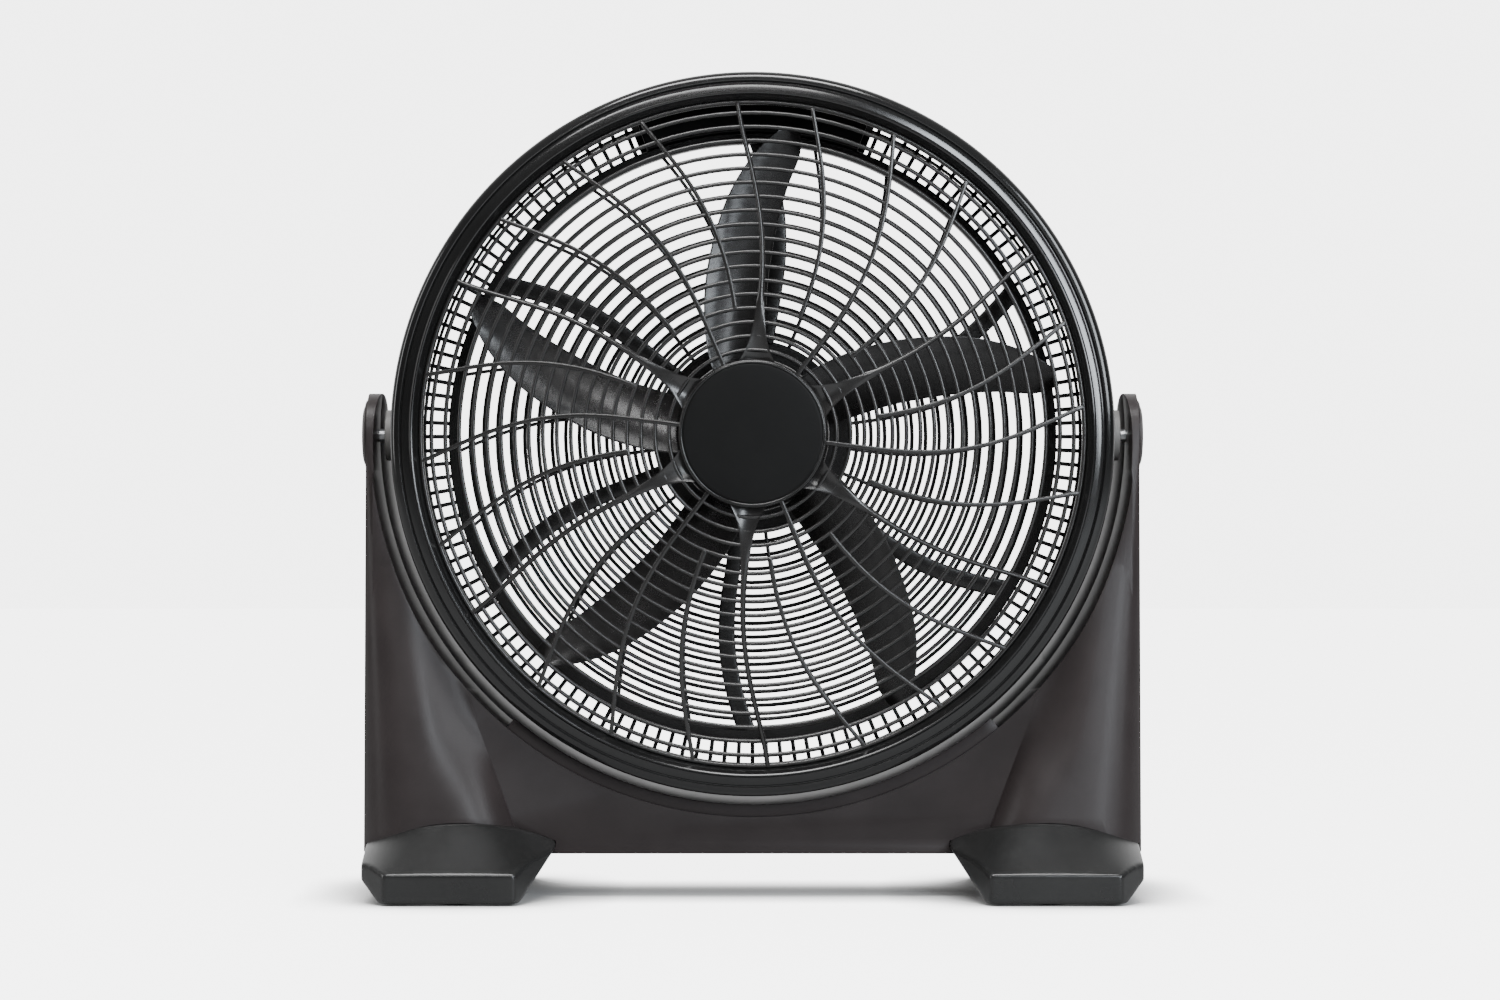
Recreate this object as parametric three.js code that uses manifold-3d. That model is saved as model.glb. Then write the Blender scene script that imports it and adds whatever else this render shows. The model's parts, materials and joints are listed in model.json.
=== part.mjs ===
// Drum fan that tilts between the uprights of a U-shaped floor stand.
// Millimetres, +Z up. The fan blows towards -Y, and +X is on the right of someone facing its front.
// The origin is on the floor, under the middle of the stand.
import * as THREE from 'three';
import { mergeVertices } from 'three/addons/utils/BufferGeometryUtils.js';
import Module from 'manifold-3d';

const wasm = await Module();
wasm.setup();

// ---------------------------------------------------------------------------
// Driving dimensions
// ---------------------------------------------------------------------------

// Clearances
const touchGap = 0.3; // between pieces that rest against each other
const runGap = 0.5; // between the rotor and the stator
const boltGap = 0.3; // around bolts and screws

// Drum
const drumRadius = 280; // outside of the front rim
const drumDepth = 143; // front face of the rim to the back of the rear grille
const rimFront = -75; // front face of the rim, measured from the tilt axis
const rimWidth = 22; // from the outside of the rim to its opening
const drumWall = 3.5;
const bezelSkirt = 35; // how far the rim reaches back over the drum

// Front grille
const ringCount = 18;
const ringWidth = 2.8;
const ringDepth = 3;
const majorSpokes = 6;
const spokeWidth = 3.9;
const spokeDepth = 5;
const spokeFlare = 15.4; // how much a major spoke widens towards the hub
const grilleDome = 12; // how far the middle of the grille bulges
const hubCapRadius = 56;
const hubCapDepth = 6;

// Rear grille
const ventSpan = 29; // from the duct to the drum's wall
const ductWidth = 8.5;
const ductDepth = 20;
const rearRingCount = 5;
const strutWidth = 16;
const strutDepth = 8;
const ventPitch = 15; // degrees between the vent bars
const ventWidth = 2.3;
const grilleThickness = 4;
const plateMargin = 12; // how far the motor plate reaches past the motor cover
const rearHoopDepth = 14;

// Control housing at the top of the vents
const controlDepth = 44;
const controlWall = 2.5;
const coverThickness = 2.7;
const knobRadius = 12.5;
const knobLength = 18;
const pointerWidth = 3.6;
const knobGap = 5.1; // between the handle and the knob
const knobMargin = 7.1; // from the knob to the end of the control housing
const spindleRadius = 3;
const glandRadius = 7;
const handleSpan = 84; // clear width for the hand
const handleReach = 26; // clear depth for the fingers
const handleThickness = 12;
const handleLeg = 10;
const handleHeight = 16;

// Propeller
const bladeCount = 5;
const tipGap = 1.5; // how far the blades end inside the duct's radius
const bladeThickness = 2.4;
// Each blade's edges: pairs of the share of the way from hub to tip, and degrees round the axis
const trailingEdge = [[0, -40], [0.25, -29.5], [0.5, -20.5], [0.75, -12.5], [0.9, -7], [1, -2.5]];
const leadingEdge = [[0, 2], [0.25, -2], [0.5, -1.8], [0.75, 0], [0.9, 1.6], [1, 1]];
const hubRadius = 60;
const hubDepth = 40;
const hubWall = 4;

// Motor
const shaftRadius = 4;
const motorRadius = 52;
const bellWall = 8; // outside of the motor's bells to the stator
const rotorCoreRadius = 28;
const coreLength = 26;
const windingLength = 9;
const bearingRadius = 11;
const bearingWidth = 7;
const bearingSeat = 3; // thickness of a bell's end behind its bearing
const bellLength = 25;
const motorBoltRadius = 1.8;
const motorCoverRadius = 66;
const motorCoverDepth = 26;
const pinRadius = 1.5;
const pinLength = 22;

// Stand
const cradleGap = 20; // rim to the front edge of the cradle
const cradleTaper = 0.083; // how fast the cradle narrows towards the back, in its front half
const cradleRearTaper = 0.12; // and in its rear half
const bridgeClearance = 34; // floor to the bridge
const bridgeHeight = 26; // bridge at its thinnest
const uprightGap = 9; // rim to the upright
const uprightThickness = 13;
const pivotRadius = 33; // rounded top of the upright
const pylonWidth = 136; // at the foot
const pylonTaper = 0.349; // how fast a pylon narrows on its way up
const pylonDepth = 160; // front to back at the foot
const pylonBulge = 30; // how far a pylon's front curves out
const bridgeDepth = 92;
const standWall = 3;

// Pivots
const pivotBoltRadius = 5;
const boltHeadRadius = 9;
const washerRadius = 20;
const pivotCapRadius = 28;
const pivotCapDepth = 4;
const pivotBossRadius = 22;
const nutRadius = 8.5;

// Feet
const footLength = 230;
const footArch = 60; // floor to the middle of the arch under a pylon
const footArchDrop = 16; // how much lower the arch ends are
const footToe = 24; // height of a foot's front face
const footOverhang = 13; // how far a foot reaches inwards past its pylon
const padRadius = 11;
const padHeight = 4;
const footLift = 1.5; // floor to the edge of the foot shell
const screwRadius = 2;
const screwPostRadius = 5.5;
const screwHeadRadius = 4;
const screwHeadHeight = 2.5;
const standScrewBite = 22; // how far a stand screw reaches into the front half
const standScrewSeat = 30; // where a stand screw's head rests, behind the middle

// Facets
const wheelFacets = 36;
const ringFacets = 18;
const roundFacets = 14;
const motorFacets = 20;
const smallFacets = 6;

// ---------------------------------------------------------------------------
// Derived sizes
// ---------------------------------------------------------------------------
const rimOpening = drumRadius - rimWidth;
const shellRadius = drumRadius - 4; // outside of the drum behind the rim
const shellInner = shellRadius - drumWall;
const ductRadius = shellInner - ventSpan;
const bladeTipRadius = ductRadius - tipGap;
const statorRadius = motorRadius - bellWall;
const motorPlateRadius = motorCoverRadius + plateMargin;
const rearFace = rimFront + drumDepth;
const uprightInner = drumRadius + uprightGap;
const uprightOuter = uprightInner + uprightThickness;
const headHeight = bridgeClearance + bridgeHeight + drumRadius + cradleGap;
const pivotTop = headHeight + pivotRadius;
const pylonInner = uprightOuter - pylonWidth;
const footInner = pylonInner - footOverhang;
const footOuter = uprightOuter - 2;
const footMiddle = (footInner + footOuter) / 2;
const outerRing = rimOpening - 10;
const starRadius = hubCapRadius + 1;
const innerRing = starRadius + 7.5;
const ringPitch = (outerRing - innerRing) / (ringCount - 1);
const grilleRim = rimFront + 5; // front of the grille where it meets the rim
const hoopOuter = rimOpening - touchGap;
const hoopInner = hoopOuter - 3;
const flangeFront = rimFront + 10 + touchGap;
const flangeBack = flangeFront + 3;
const motorPlateFront = rearFace - 6;
const motorPlateBack = motorPlateFront + grilleThickness;
const ventHoopInner = shellInner - 5;

// ---------------------------------------------------------------------------
// Geometry helpers
// ---------------------------------------------------------------------------
const radians = THREE.MathUtils.degToRad;
const lerp = THREE.MathUtils.lerp;

/** Turns a closed three.js geometry into a solid, whichever way its faces point. */
function toSolid(geometry) {
  const bare = geometry.clone();
  bare.deleteAttribute('normal');
  bare.deleteAttribute('uv');
  const merged = mergeVertices(bare);
  const corners = merged.attributes.position.array;
  const faces = [];
  for (let i = 0; i < merged.index.count; i += 3) {
    const [a, b, c] = merged.index.array.slice(i, i + 3);
    if (a !== b && b !== c && c !== a) {
      faces.push([a, b, c]);
    }
  }
  const point = (i) => new THREE.Vector3().fromArray(corners, 3 * i);
  const signed = ([a, b, c]) => point(a).dot(point(b).cross(point(c)));
  const volume = faces.reduce((sum, face) => sum + signed(face), 0);
  const outward = volume < 0 ? faces.map(([a, b, c]) => [a, c, b]) : faces;
  return new wasm.Manifold(new wasm.Mesh({
    numProp: 3,
    vertProperties: new Float32Array(corners),
    triVerts: new Uint32Array(outward.flat()),
  }));
}

/** A block whose corners are moved: place(u, v, w) gives each corner, with u, v and w from 0 to 1. */
function warpedBlock(steps, place) {
  const geometry = new THREE.BoxGeometry(1, 1, 1, ...steps);
  const corners = geometry.attributes.position;
  for (let i = 0; i < corners.count; i += 1) {
    const at = place(corners.getX(i) + 0.5, corners.getY(i) + 0.5, corners.getZ(i) + 0.5);
    corners.setXYZ(i, ...at);
  }
  return toSolid(geometry);
}

/** A ring or disc about the Y axis. The outline is a list of [radius, y], closed here. */
function revolve(outline, facets = wheelFacets) {
  const points = outline.map(([radius, y]) => new THREE.Vector2(radius, y));
  points.push(points[0].clone());
  return toSolid(new THREE.LatheGeometry(points, facets));
}

/** A tube about the Y axis. */
function tube(inner, outer, from, to, facets = wheelFacets) {
  return revolve([[inner, from], [outer, from], [outer, to], [inner, to]], facets);
}

/** A cylinder about the Y axis. */
function disc(radius, from, to, facets = wheelFacets) {
  const geometry = new THREE.CylinderGeometry(radius, radius, to - from, facets);
  return toSolid(geometry.translate(0, (from + to) / 2, 0));
}

/** A box between two corners. */
function box(low, high) {
  const size = high.map((value, i) => value - low[i]);
  const middle = high.map((value, i) => (value + low[i]) / 2);
  return toSolid(new THREE.BoxGeometry(...size).translate(...middle));
}

/** A cylinder along the X or Z axis through the point [x, y, z], from one end to the other. */
function rod(axis, radius, from, to, at = [0, 0, 0], facets = smallFacets) {
  const geometry = new THREE.CylinderGeometry(radius, radius, Math.abs(to - from), facets);
  const middle = (from + to) / 2;
  if (axis === 'x') {
    geometry.rotateZ(Math.PI / 2).translate(middle, at[1], at[2]);
  } else if (axis === 'y') {
    geometry.translate(at[0], middle, at[2]);
  } else {
    geometry.rotateX(Math.PI / 2).translate(at[0], at[1], middle);
  }
  return toSolid(geometry);
}

/** An outline in the XZ plane, made thick along Y. */
function slabAlongY(outline, from, to) {
  const shape = new THREE.Shape(outline.map(([x, z]) => new THREE.Vector2(x, z)));
  const geometry = new THREE.ExtrudeGeometry(shape, { depth: to - from, bevelEnabled: false });
  return toSolid(geometry.rotateX(Math.PI / 2).translate(0, to, 0));
}

/** An outline in the XY plane, made thick along Z. */
function slabAlongZ(outline, from, to) {
  const shape = new THREE.Shape(outline.map(([x, y]) => new THREE.Vector2(x, y)));
  const geometry = new THREE.ExtrudeGeometry(shape, { depth: to - from, bevelEnabled: false });
  return toSolid(geometry.translate(0, 0, from));
}

/** Joins a list of solids. */
function join(solids) {
  return solids.reduce((all, solid) => all.add(solid));
}

/** A point on the drum's face: clockwise degrees from the top, seen from the front. */
function onFace(radius, degrees, y) {
  return [radius * Math.sin(radians(degrees)), y, radius * Math.cos(radians(degrees))];
}

/** A bar that runs outwards along the drum's face and may curve, widen and follow a dome. */
function faceBar({ from, to, angle, width, front, depth, steps = 6 }) {
  return warpedBlock([steps, 1, 1], (u, v, w) => {
    const radius = lerp(from, to, u);
    const [x, , z] = onFace(radius, angle(radius), 0);
    const across = new THREE.Vector2(z, -x).normalize().multiplyScalar((w - 0.5) * width(radius));
    return [x + across.x, front(radius) + v * depth, z + across.y];
  });
}

/** Degrees by which a spoke has swirled at a radius, growing from the rim inwards. */
function swirl(radius, total, settled, ease) {
  const inwards = THREE.MathUtils.clamp((rimOpening - radius) / (rimOpening - settled), 0, 1);
  return total * Math.sin(inwards * Math.PI / 2) ** ease;
}

/** A wedge about the Y axis, for cutting a stretch out of a ring. */
function wedge(halfAngle, reach, from, to) {
  const corner = onFace(reach, halfAngle, 0);
  return slabAlongY([[0, 0], [-corner[0], corner[2]], [corner[0], corner[2]]], from, to);
}

/** A solid moved by a matrix, which may mirror it. */
function moved(solid, matrix) {
  const { vertProperties, triVerts } = solid.getMesh();
  const geometry = new THREE.BufferGeometry();
  geometry.setAttribute('position', new THREE.BufferAttribute(new Float32Array(vertProperties), 3));
  geometry.setIndex(new THREE.BufferAttribute(new Uint32Array(triVerts), 1));
  return toSolid(geometry.applyMatrix4(matrix));
}

/** The mirror image on the other side of the stand. */
function otherSide(solid) {
  return moved(solid, new THREE.Matrix4().makeScale(-1, 1, 1));
}

/** A solid made at the top of the drum, turned clockwise round its face. */
function roundFace(solid, degrees) {
  return moved(solid, new THREE.Matrix4().makeRotationY(radians(degrees)));
}

// ---------------------------------------------------------------------------
// Stand
// ---------------------------------------------------------------------------

/** Half of a pylon's depth at a height, before its front curves away. */
function pylonHalfDepth(z, inset) {
  if (z > headHeight) {
    const above = z - headHeight;
    return Math.sqrt(Math.max((pivotRadius - inset) ** 2 - above ** 2, 0)) + 0.01;
  }
  const rise = z / headHeight;
  return lerp(pylonDepth / 2, pivotRadius, rise) - inset;
}

/** How far a pylon's curved front lies behind its most forward line, at 0 to 1 across it. */
function pylonCurve(across, z) {
  const fade = Math.max(1 - z / headHeight, 0);
  return pylonBulge * fade * (1 - Math.sin(Math.PI * across));
}

/** A pylon with its upright, as a block from the floor to the rounded top. */
function pylonBlock(inset) {
  const top = pivotTop - inset;
  const levels = 8;
  return warpedBlock([6, 1, levels], (u, v, w) => {
    const level = w * levels;
    const crown = headHeight + (top - headHeight) * Math.sin((level - 4) * Math.PI / 8);
    const z = level < 5 ? headHeight * level / 4 : crown;
    const inner = Math.min(pylonInner + pylonTaper * z, uprightInner) + inset;
    const across = (1 - Math.cos(Math.PI * u)) / 2;
    const depth = pylonHalfDepth(z, inset) - pylonCurve(u, z);
    return [lerp(inner, uprightOuter - inset, across), (2 * v - 1) * depth, z];
  });
}

/** The space in the stand that the drum turns in. */
function cradleSpace(inset) {
  const reach = pylonDepth;
  const front = drumRadius + cradleGap + inset;
  const middle = front + cradleTaper * rimFront;
  const bowl = revolve([
    [0, -reach], [middle + cradleTaper * reach, -reach], [middle, 0],
    [middle - cradleRearTaper * reach, reach], [0, reach],
  ]);
  const between = uprightInner + inset;
  const above = box([-between, -reach, 0], [between, reach, headHeight]);
  const below = box([-between, -reach, -headHeight], [between, reach, headHeight]);
  return moved(bowl.intersect(below).add(above), new THREE.Matrix4().makeTranslation(0, 0, headHeight));
}

/** The whole stand as one lump. An inset gives the hollow inside its walls. */
function standBlock(inset) {
  const pylon = pylonBlock(inset);
  const half = bridgeDepth / 2 - inset;
  const reach = uprightOuter - uprightThickness / 2;
  const bridge = box([-reach, -half, bridgeClearance + inset], [reach, half, headHeight]);
  return join([pylon, otherSide(pylon), bridge]).subtract(cradleSpace(inset));
}

/** A foot with sloping toes and an arched top that the pylon stands on. */
function footBlock(inset, grow = 0) {
  const end = footLength / 2 - inset;
  const inner = footInner + inset;
  const outer = footOuter - inset;
  const reach = (outer - inner) / 2;
  const arched = warpedBlock([6, 6, 1], (u, v, w) => {
    const x = lerp(inner, outer, u);
    const across = THREE.MathUtils.clamp((x - pylonInner) / (footOuter - pylonInner), 0, 1);
    const shoulder = pylonHalfDepth(footArch, 0) - pylonCurve(Math.acos(1 - 2 * across) / Math.PI, footArch);
    const along = Math.abs(2 * v - 1);
    const y = along < 1 / 3 ? 3 * along * shoulder : lerp(shoulder, end, 1.5 * (along - 1 / 3));
    const arch = footArch - footArchDrop * ((x - footMiddle) / reach) ** 2;
    const toe = Math.max(along - 1 / 3, 0) * 1.5;
    const top = lerp(arch, footToe, toe) - inset + grow;
    return [x, Math.sign(2 * v - 1) * y, w < 0.5 ? footLift - inset : top];
  });
  const toeInner = inner + 28;
  const toeOuter = outer - 19;
  const plan = [
    [toeInner, -end], [toeOuter, -end], [outer, 23 - end], [outer, end - 23],
    [toeOuter, end], [toeInner, end], [inner, end - 52], [inner, 52 - end],
  ];
  const face = [
    [toeInner, -standWall], [toeOuter, -standWall], [outer, 18], [outer, footArch + standWall],
    [inner, footArch + standWall], [inner, 41 - footLift],
  ];
  return arched.intersect(slabAlongZ(plan, -standWall, footArch + standWall))
    .intersect(slabAlongY(face, -footLength, footLength));
}

const standScrewPlaces = [[footMiddle, 118], [footMiddle - 62, 72]];
const footScrewY = 34;

/** What the two stand halves hold inside: posts for the screws and the pivot bosses. */
function standInnards() {
  const reach = pylonDepth / 2;
  const posts = standScrewPlaces.map(([x, z]) => rod('y', screwPostRadius, -reach, reach, [x, 0, z]));
  const footPosts = [-1, 1].map((side) => {
    const at = [footMiddle, side * footScrewY, 0];
    const post = rod('z', screwPostRadius, footArch - footArchDrop, footArch + 26, at);
    const rib = box([footMiddle - 1.5, side > 0 ? footScrewY : -reach, footArch - footArchDrop],
      [footMiddle + 1.5, side > 0 ? reach : -footScrewY, footArch + 26]);
    return post.add(rib);
  });
  const boss = rod('x', 13, uprightInner, uprightOuter, [0, 0, headHeight], roundFacets);
  return join([...posts, ...footPosts, boss]);
}

/** Holes for the pivot bolts, the stand screws and the foot screws. */
function standHoles() {
  const pivot = [0, 0, headHeight];
  const bolt = rod('x', pivotBoltRadius + boltGap, uprightInner - 5, uprightOuter + 5, pivot, roundFacets);
  const head = rod('x', boltHeadRadius + boltGap, uprightOuter - 4, uprightOuter + 5, pivot, roundFacets);
  const screws = standScrewPlaces.flatMap(([x, z]) => [
    rod('y', screwRadius + boltGap, -standScrewBite - 1, pylonDepth, [x, 0, z]),
    rod('y', screwHeadRadius + boltGap, standScrewSeat, pylonDepth, [x, 0, z]),
  ]);
  const footScrews = [-1, 1].map((side) => rod('z', screwRadius + boltGap, 0, footArch + 16,
    [footMiddle, side * footScrewY, 0]));
  return join([bolt, head, ...screws, ...footScrews]);
}

function standHalf(side) {
  const body = standBlock(0);
  const hollow = standBlock(standWall);
  const innards = standInnards().intersect(body);
  const rightHoles = standHoles();
  const feet = footBlock(0, touchGap);
  const shell = body.subtract(hollow).add(innards).add(otherSide(innards))
    .subtract(rightHoles).subtract(otherSide(rightHoles))
    .subtract(feet).subtract(otherSide(feet))
    .subtract(box([footInner, -footLength, -1], [footOuter + 9, footLength, footArch - footArchDrop - 8]))
    .subtract(box([-footOuter - 9, -footLength, -1], [-footInner, footLength, footArch - footArchDrop - 8]));
  const reach = 2 * uprightOuter;
  const keep = side === 'front'
    ? box([-reach, -reach, 0], [reach, -touchGap / 2, 2 * reach])
    : box([-reach, touchGap / 2, 0], [reach, reach, 2 * reach]);
  return shell.intersect(keep);
}

const padPlaces = [-1, 1].map((side) => side * (footLength / 2 - 26));

/** A foot: a shell that is open underneath, with seats for its pads and posts for its screws. */
function footShell() {
  const outside = footBlock(0);
  const hollow = footBlock(standWall).add(box([footInner + 30, -footLength / 2 + 12, -1],
    [footOuter - 22, footLength / 2 - 12, footLift + standWall]));
  const seats = padPlaces.map((y) => box([footInner, y - padRadius - 2, padHeight + touchGap],
    [footOuter, y + padRadius + 2, padHeight + touchGap + standWall]));
  const posts = [-1, 1].map((side) => rod('z', screwPostRadius, footArch - 28, footArch,
    [footMiddle, side * footScrewY, 0]));
  const screws = [-1, 1].map((side) => rod('z', screwRadius + boltGap, 0, footArch + 5,
    [footMiddle, side * footScrewY, 0]));
  return outside.subtract(hollow).add(join([...seats, ...posts]).intersect(outside)).subtract(join(screws));
}

/** A screw along Y or Z, with its head at the start of its reach. */
function screw(axis, headAt, tipAt, at) {
  const shank = rod(axis, screwRadius, Math.min(headAt, tipAt), Math.max(headAt, tipAt), at);
  const headEnd = headAt + Math.sign(headAt - tipAt) * screwHeadHeight;
  const head = rod(axis, screwHeadRadius - 0.3, Math.min(headAt, headEnd), Math.max(headAt, headEnd), at);
  const slot = screwHeadHeight / 2;
  const middle = headEnd;
  const size = { y: [screwHeadRadius, slot, 0.5], z: [screwHeadRadius, 0.5, slot] }[axis];
  const place = { y: [at[0], middle, at[2]], z: [at[0], at[1], middle] }[axis];
  const cut = box(place.map((value, i) => value - size[i]), place.map((value, i) => value + size[i]));
  return shank.add(head).subtract(cut);
}

// ---------------------------------------------------------------------------
// Pivots, at the right upright, with the tilt axis through the origin
// ---------------------------------------------------------------------------
const nutSeat = drumRadius - 8; // where the nut rests inside the drum's boss
const washerInner = drumRadius + touchGap;
const washerOuter = uprightInner - touchGap;

function pivotBolt() {
  const shank = rod('x', pivotBoltRadius, nutSeat - 5.5, uprightOuter - 4, [0, 0, 0], roundFacets);
  const head = rod('x', boltHeadRadius, uprightOuter - 4 + touchGap, uprightOuter, [0, 0, 0], 6);
  const neck = rod('x', pivotBoltRadius, uprightOuter - 5, uprightOuter, [0, 0, 0], roundFacets);
  return join([shank, neck, head]);
}

function pivotNut() {
  return rod('x', nutRadius, nutSeat - 5.5, nutSeat - touchGap, [0, 0, 0], 6)
    .subtract(rod('x', pivotBoltRadius + boltGap / 2, nutSeat - 9, nutSeat + 1, [0, 0, 0], roundFacets));
}

function frictionWasher() {
  return rod('x', washerRadius, washerInner, washerOuter, [0, 0, 0], roundFacets)
    .subtract(rod('x', pivotBoltRadius + boltGap, washerInner - 1, washerOuter + 1, [0, 0, 0], roundFacets));
}

function pivotCap() {
  const foot = uprightOuter + touchGap;
  const round = rod('x', pivotCapRadius, foot, foot + pivotCapDepth / 2, [0, 0, 0], roundFacets);
  const crown = rod('x', pivotCapRadius - 5, foot, foot + pivotCapDepth, [0, 0, 0], roundFacets);
  return round.add(crown);
}

// ---------------------------------------------------------------------------
// Head, about the blades' axis, with the tilt axis through the origin
// ---------------------------------------------------------------------------

function rimBezel() {
  const skirtEnd = rimFront + bezelSkirt;
  const skirtInner = shellRadius + touchGap;
  return revolve([
    [drumRadius, skirtEnd], [skirtInner, skirtEnd], [skirtInner, rimFront + 10],
    [rimOpening, rimFront + 10], [rimOpening, rimFront + 6],
    [rimOpening + 4.5, rimFront], [rimOpening + 7, rimFront + 3], [drumRadius - 8, rimFront + 3],
    [drumRadius - 2, rimFront + 4], [drumRadius, rimFront + 9],
  ]);
}

/** Front of the bulging grille at a radius. */
function domeFront(radius) {
  return grilleRim - grilleDome * (1 - (radius / rimOpening) ** 2);
}

function grilleRing(radius, y, width, depth) {
  const half = width / 2;
  return revolve([[radius - half, y], [radius + half, y], [radius, y + depth]], ringFacets);
}

function frontGrille() {
  const hoop = tube(hoopInner, hoopOuter, grilleRim, flangeBack);
  const flange = tube(hoopInner, shellInner - 3, flangeFront, flangeBack);
  const rings = Array.from({ length: ringCount }, (_, i) => {
    const radius = innerRing + i * ringPitch;
    return grilleRing(radius, domeFront(radius) + 0.6, ringWidth, ringDepth);
  });
  const flare = (radius) => {
    const near = Math.max((rimOpening * 2 / 3 - radius) / (rimOpening * 2 / 3 - starRadius - 12), 0);
    return spokeWidth + spokeFlare * near ** 2.8;
  };
  const sector = 360 / majorSpokes;
  const spokes = Array.from({ length: majorSpokes }, (_, k) => {
    const start = -2.6 + k * sector;
    return faceBar({
      from: starRadius - 2, to: hoopInner + 1, steps: 6, width: flare, front: domeFront, depth: spokeDepth,
      angle: (radius) => start + swirl(radius, 6, rimOpening * 0.45, 1.6),
    });
  });
  const star = disc(starRadius, domeFront(0), domeFront(0) + spokeDepth);
  return join([hoop, flange, star, ...rings, ...spokes]);
}

function hubCap() {
  const back = domeFront(0) - touchGap;
  const front = back - hubCapDepth;
  return revolve([
    [0, back], [0, front], [hubCapRadius * 0.6, front + 0.4], [hubCapRadius - 4, front + 1.2],
    [hubCapRadius - 0.8, front + 3], [hubCapRadius, back],
  ], motorFacets);
}

function drumShell() {
  const front = flangeBack + touchGap;
  const wall = revolve([
    [shellInner - 10, front], [shellRadius, front], [shellRadius, rearFace], [shellInner, rearFace],
    [shellInner, front + 3], [shellInner - 10, front + 3],
  ]);
  const boss = rod('x', pivotBossRadius, nutSeat - 7, drumRadius, [0, 0, 0], roundFacets);
  const bore = rod('x', pivotBoltRadius + boltGap, nutSeat - 9, drumRadius + 1, [0, 0, 0], roundFacets);
  const pocket = rod('x', nutRadius + 1, nutSeat - 9, nutSeat, [0, 0, 0], roundFacets);
  const holes = join([bore, pocket]);
  return join([wall, boss, otherSide(boss)]).subtract(holes).subtract(otherSide(holes));
}

const strutAngle = (radius, start) => start + swirl(radius, 9, rimOpening * 0.47, 1.2);
const motorBoltPlaces = [45, 135, 225, 315].map((degrees) => onFace(motorRadius - bellWall / 2, degrees, 0));

function rearGrille() {
  const hoop = tube(ventHoopInner, shellInner - touchGap, rearFace - rearHoopDepth, rearFace);
  const duct = tube(ductRadius - ductWidth, ductRadius, motorPlateBack - ductDepth, motorPlateBack);
  const bars = [];
  for (let angle = 22.5; angle <= 337.6; angle += ventPitch) {
    bars.push(faceBar({
      from: ductRadius - 1, to: ventHoopInner + 1, steps: 1, depth: grilleThickness,
      angle: () => angle, width: () => ventWidth, front: () => motorPlateFront,
    }));
  }
  const outwards = (radius) => (radius - motorPlateRadius) / (ventHoopInner - motorPlateRadius);
  const struts = Array.from({ length: 6 }, (_, k) => faceBar({
    from: motorPlateRadius - 2, to: ventHoopInner + 1, steps: 6, depth: strutDepth,
    angle: (radius) => strutAngle(radius, -0.5 + 60 * k),
    width: (radius) => strutWidth * lerp(0.72, 1, outwards(radius)),
    front: () => motorPlateBack - strutDepth,
  }));
  // The top strut stops at the duct band, where the control housing begins.
  const controlNotch = wedge(controlHalfAngle + 1, 2 * drumRadius, -drumRadius, drumRadius)
    .intersect(tube(ductRadius, ventHoopInner, -drumRadius, drumRadius));
  const rings = Array.from({ length: rearRingCount }, (_, i) => {
    const pitch = (ductRadius - ductWidth - motorPlateRadius) / (rearRingCount + 0.6);
    return grilleRing(motorPlateRadius + (i + 0.7) * pitch, motorPlateFront + 0.5, ringWidth, ringDepth);
  });
  const plate = tube(bearingRadius + 3, motorPlateRadius, motorPlateFront, motorPlateBack);
  const boltHoles = motorBoltPlaces.map((at) => rod('y', motorBoltRadius + boltGap, motorPlateFront - 1,
    motorPlateBack + 1, at));
  return join([hoop, duct, plate, ...rings, ...bars, ...struts])
    .subtract(join([controlNotch, ...boltHoles]));
}

// ---------------------------------------------------------------------------
// Control housing, cover, handle, knob, switch and cord gland
// ---------------------------------------------------------------------------
const controlInner = ductRadius + touchGap;
const controlOuter = ventHoopInner - touchGap;
const controlMiddle = (controlInner + controlOuter) / 2;
const handleOutside = handleSpan / 2 + handleLeg;
const knobAcross = handleOutside + knobGap + knobRadius;
const knobAngle = THREE.MathUtils.radToDeg(Math.asin(knobAcross / controlMiddle));
const controlHalfAngle = knobAngle + THREE.MathUtils.radToDeg((knobRadius + knobMargin) / controlMiddle);
const screwAngle = controlHalfAngle - 0.8;
const innerScrewRadius = controlInner + 3.5;
const innerScrewAcross = handleSpan / 2 - 2 * screwHeadRadius;
const innerScrewAngle = THREE.MathUtils.radToDeg(Math.asin(innerScrewAcross / innerScrewRadius));
const coverFront = rearFace + 6;
const coverBack = coverFront + coverThickness;
const controlFront = coverFront - touchGap - controlDepth;
const knobPlace = onFace(controlMiddle, knobAngle, 0);
const glandPlace = onFace(controlMiddle, -knobAngle, 0);
const coverScrewPlaces = [
  [-screwAngle, controlOuter - 3.5], [-innerScrewAngle, innerScrewRadius],
  [innerScrewAngle, innerScrewRadius], [screwAngle, controlOuter - 3.5],
].map(([degrees, radius]) => onFace(radius, degrees, 0));

/** A stretch of a ring at the top of the drum. */
function arcBlock(halfAngle, inner, outer, from, to) {
  return tube(inner, outer, from, to).intersect(wedge(halfAngle, 2 * drumRadius, from - 1, to + 1));
}

function controlBox() {
  const back = coverFront - touchGap;
  const outside = arcBlock(controlHalfAngle, controlInner, controlOuter, controlFront, back);
  const wallAngle = THREE.MathUtils.radToDeg(controlWall / controlMiddle);
  const hollow = arcBlock(controlHalfAngle - wallAngle, controlInner + controlWall,
    controlOuter - controlWall, controlFront + controlWall, back + 1);
  const posts = coverScrewPlaces.map((at) => rod('y', 3.4, controlFront + 1, back, at));
  const holes = coverScrewPlaces.map((at) => rod('y', screwRadius + boltGap, back - 14, back + 1, at));
  return outside.subtract(hollow).add(join(posts).intersect(outside)).subtract(join(holes));
}

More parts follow.
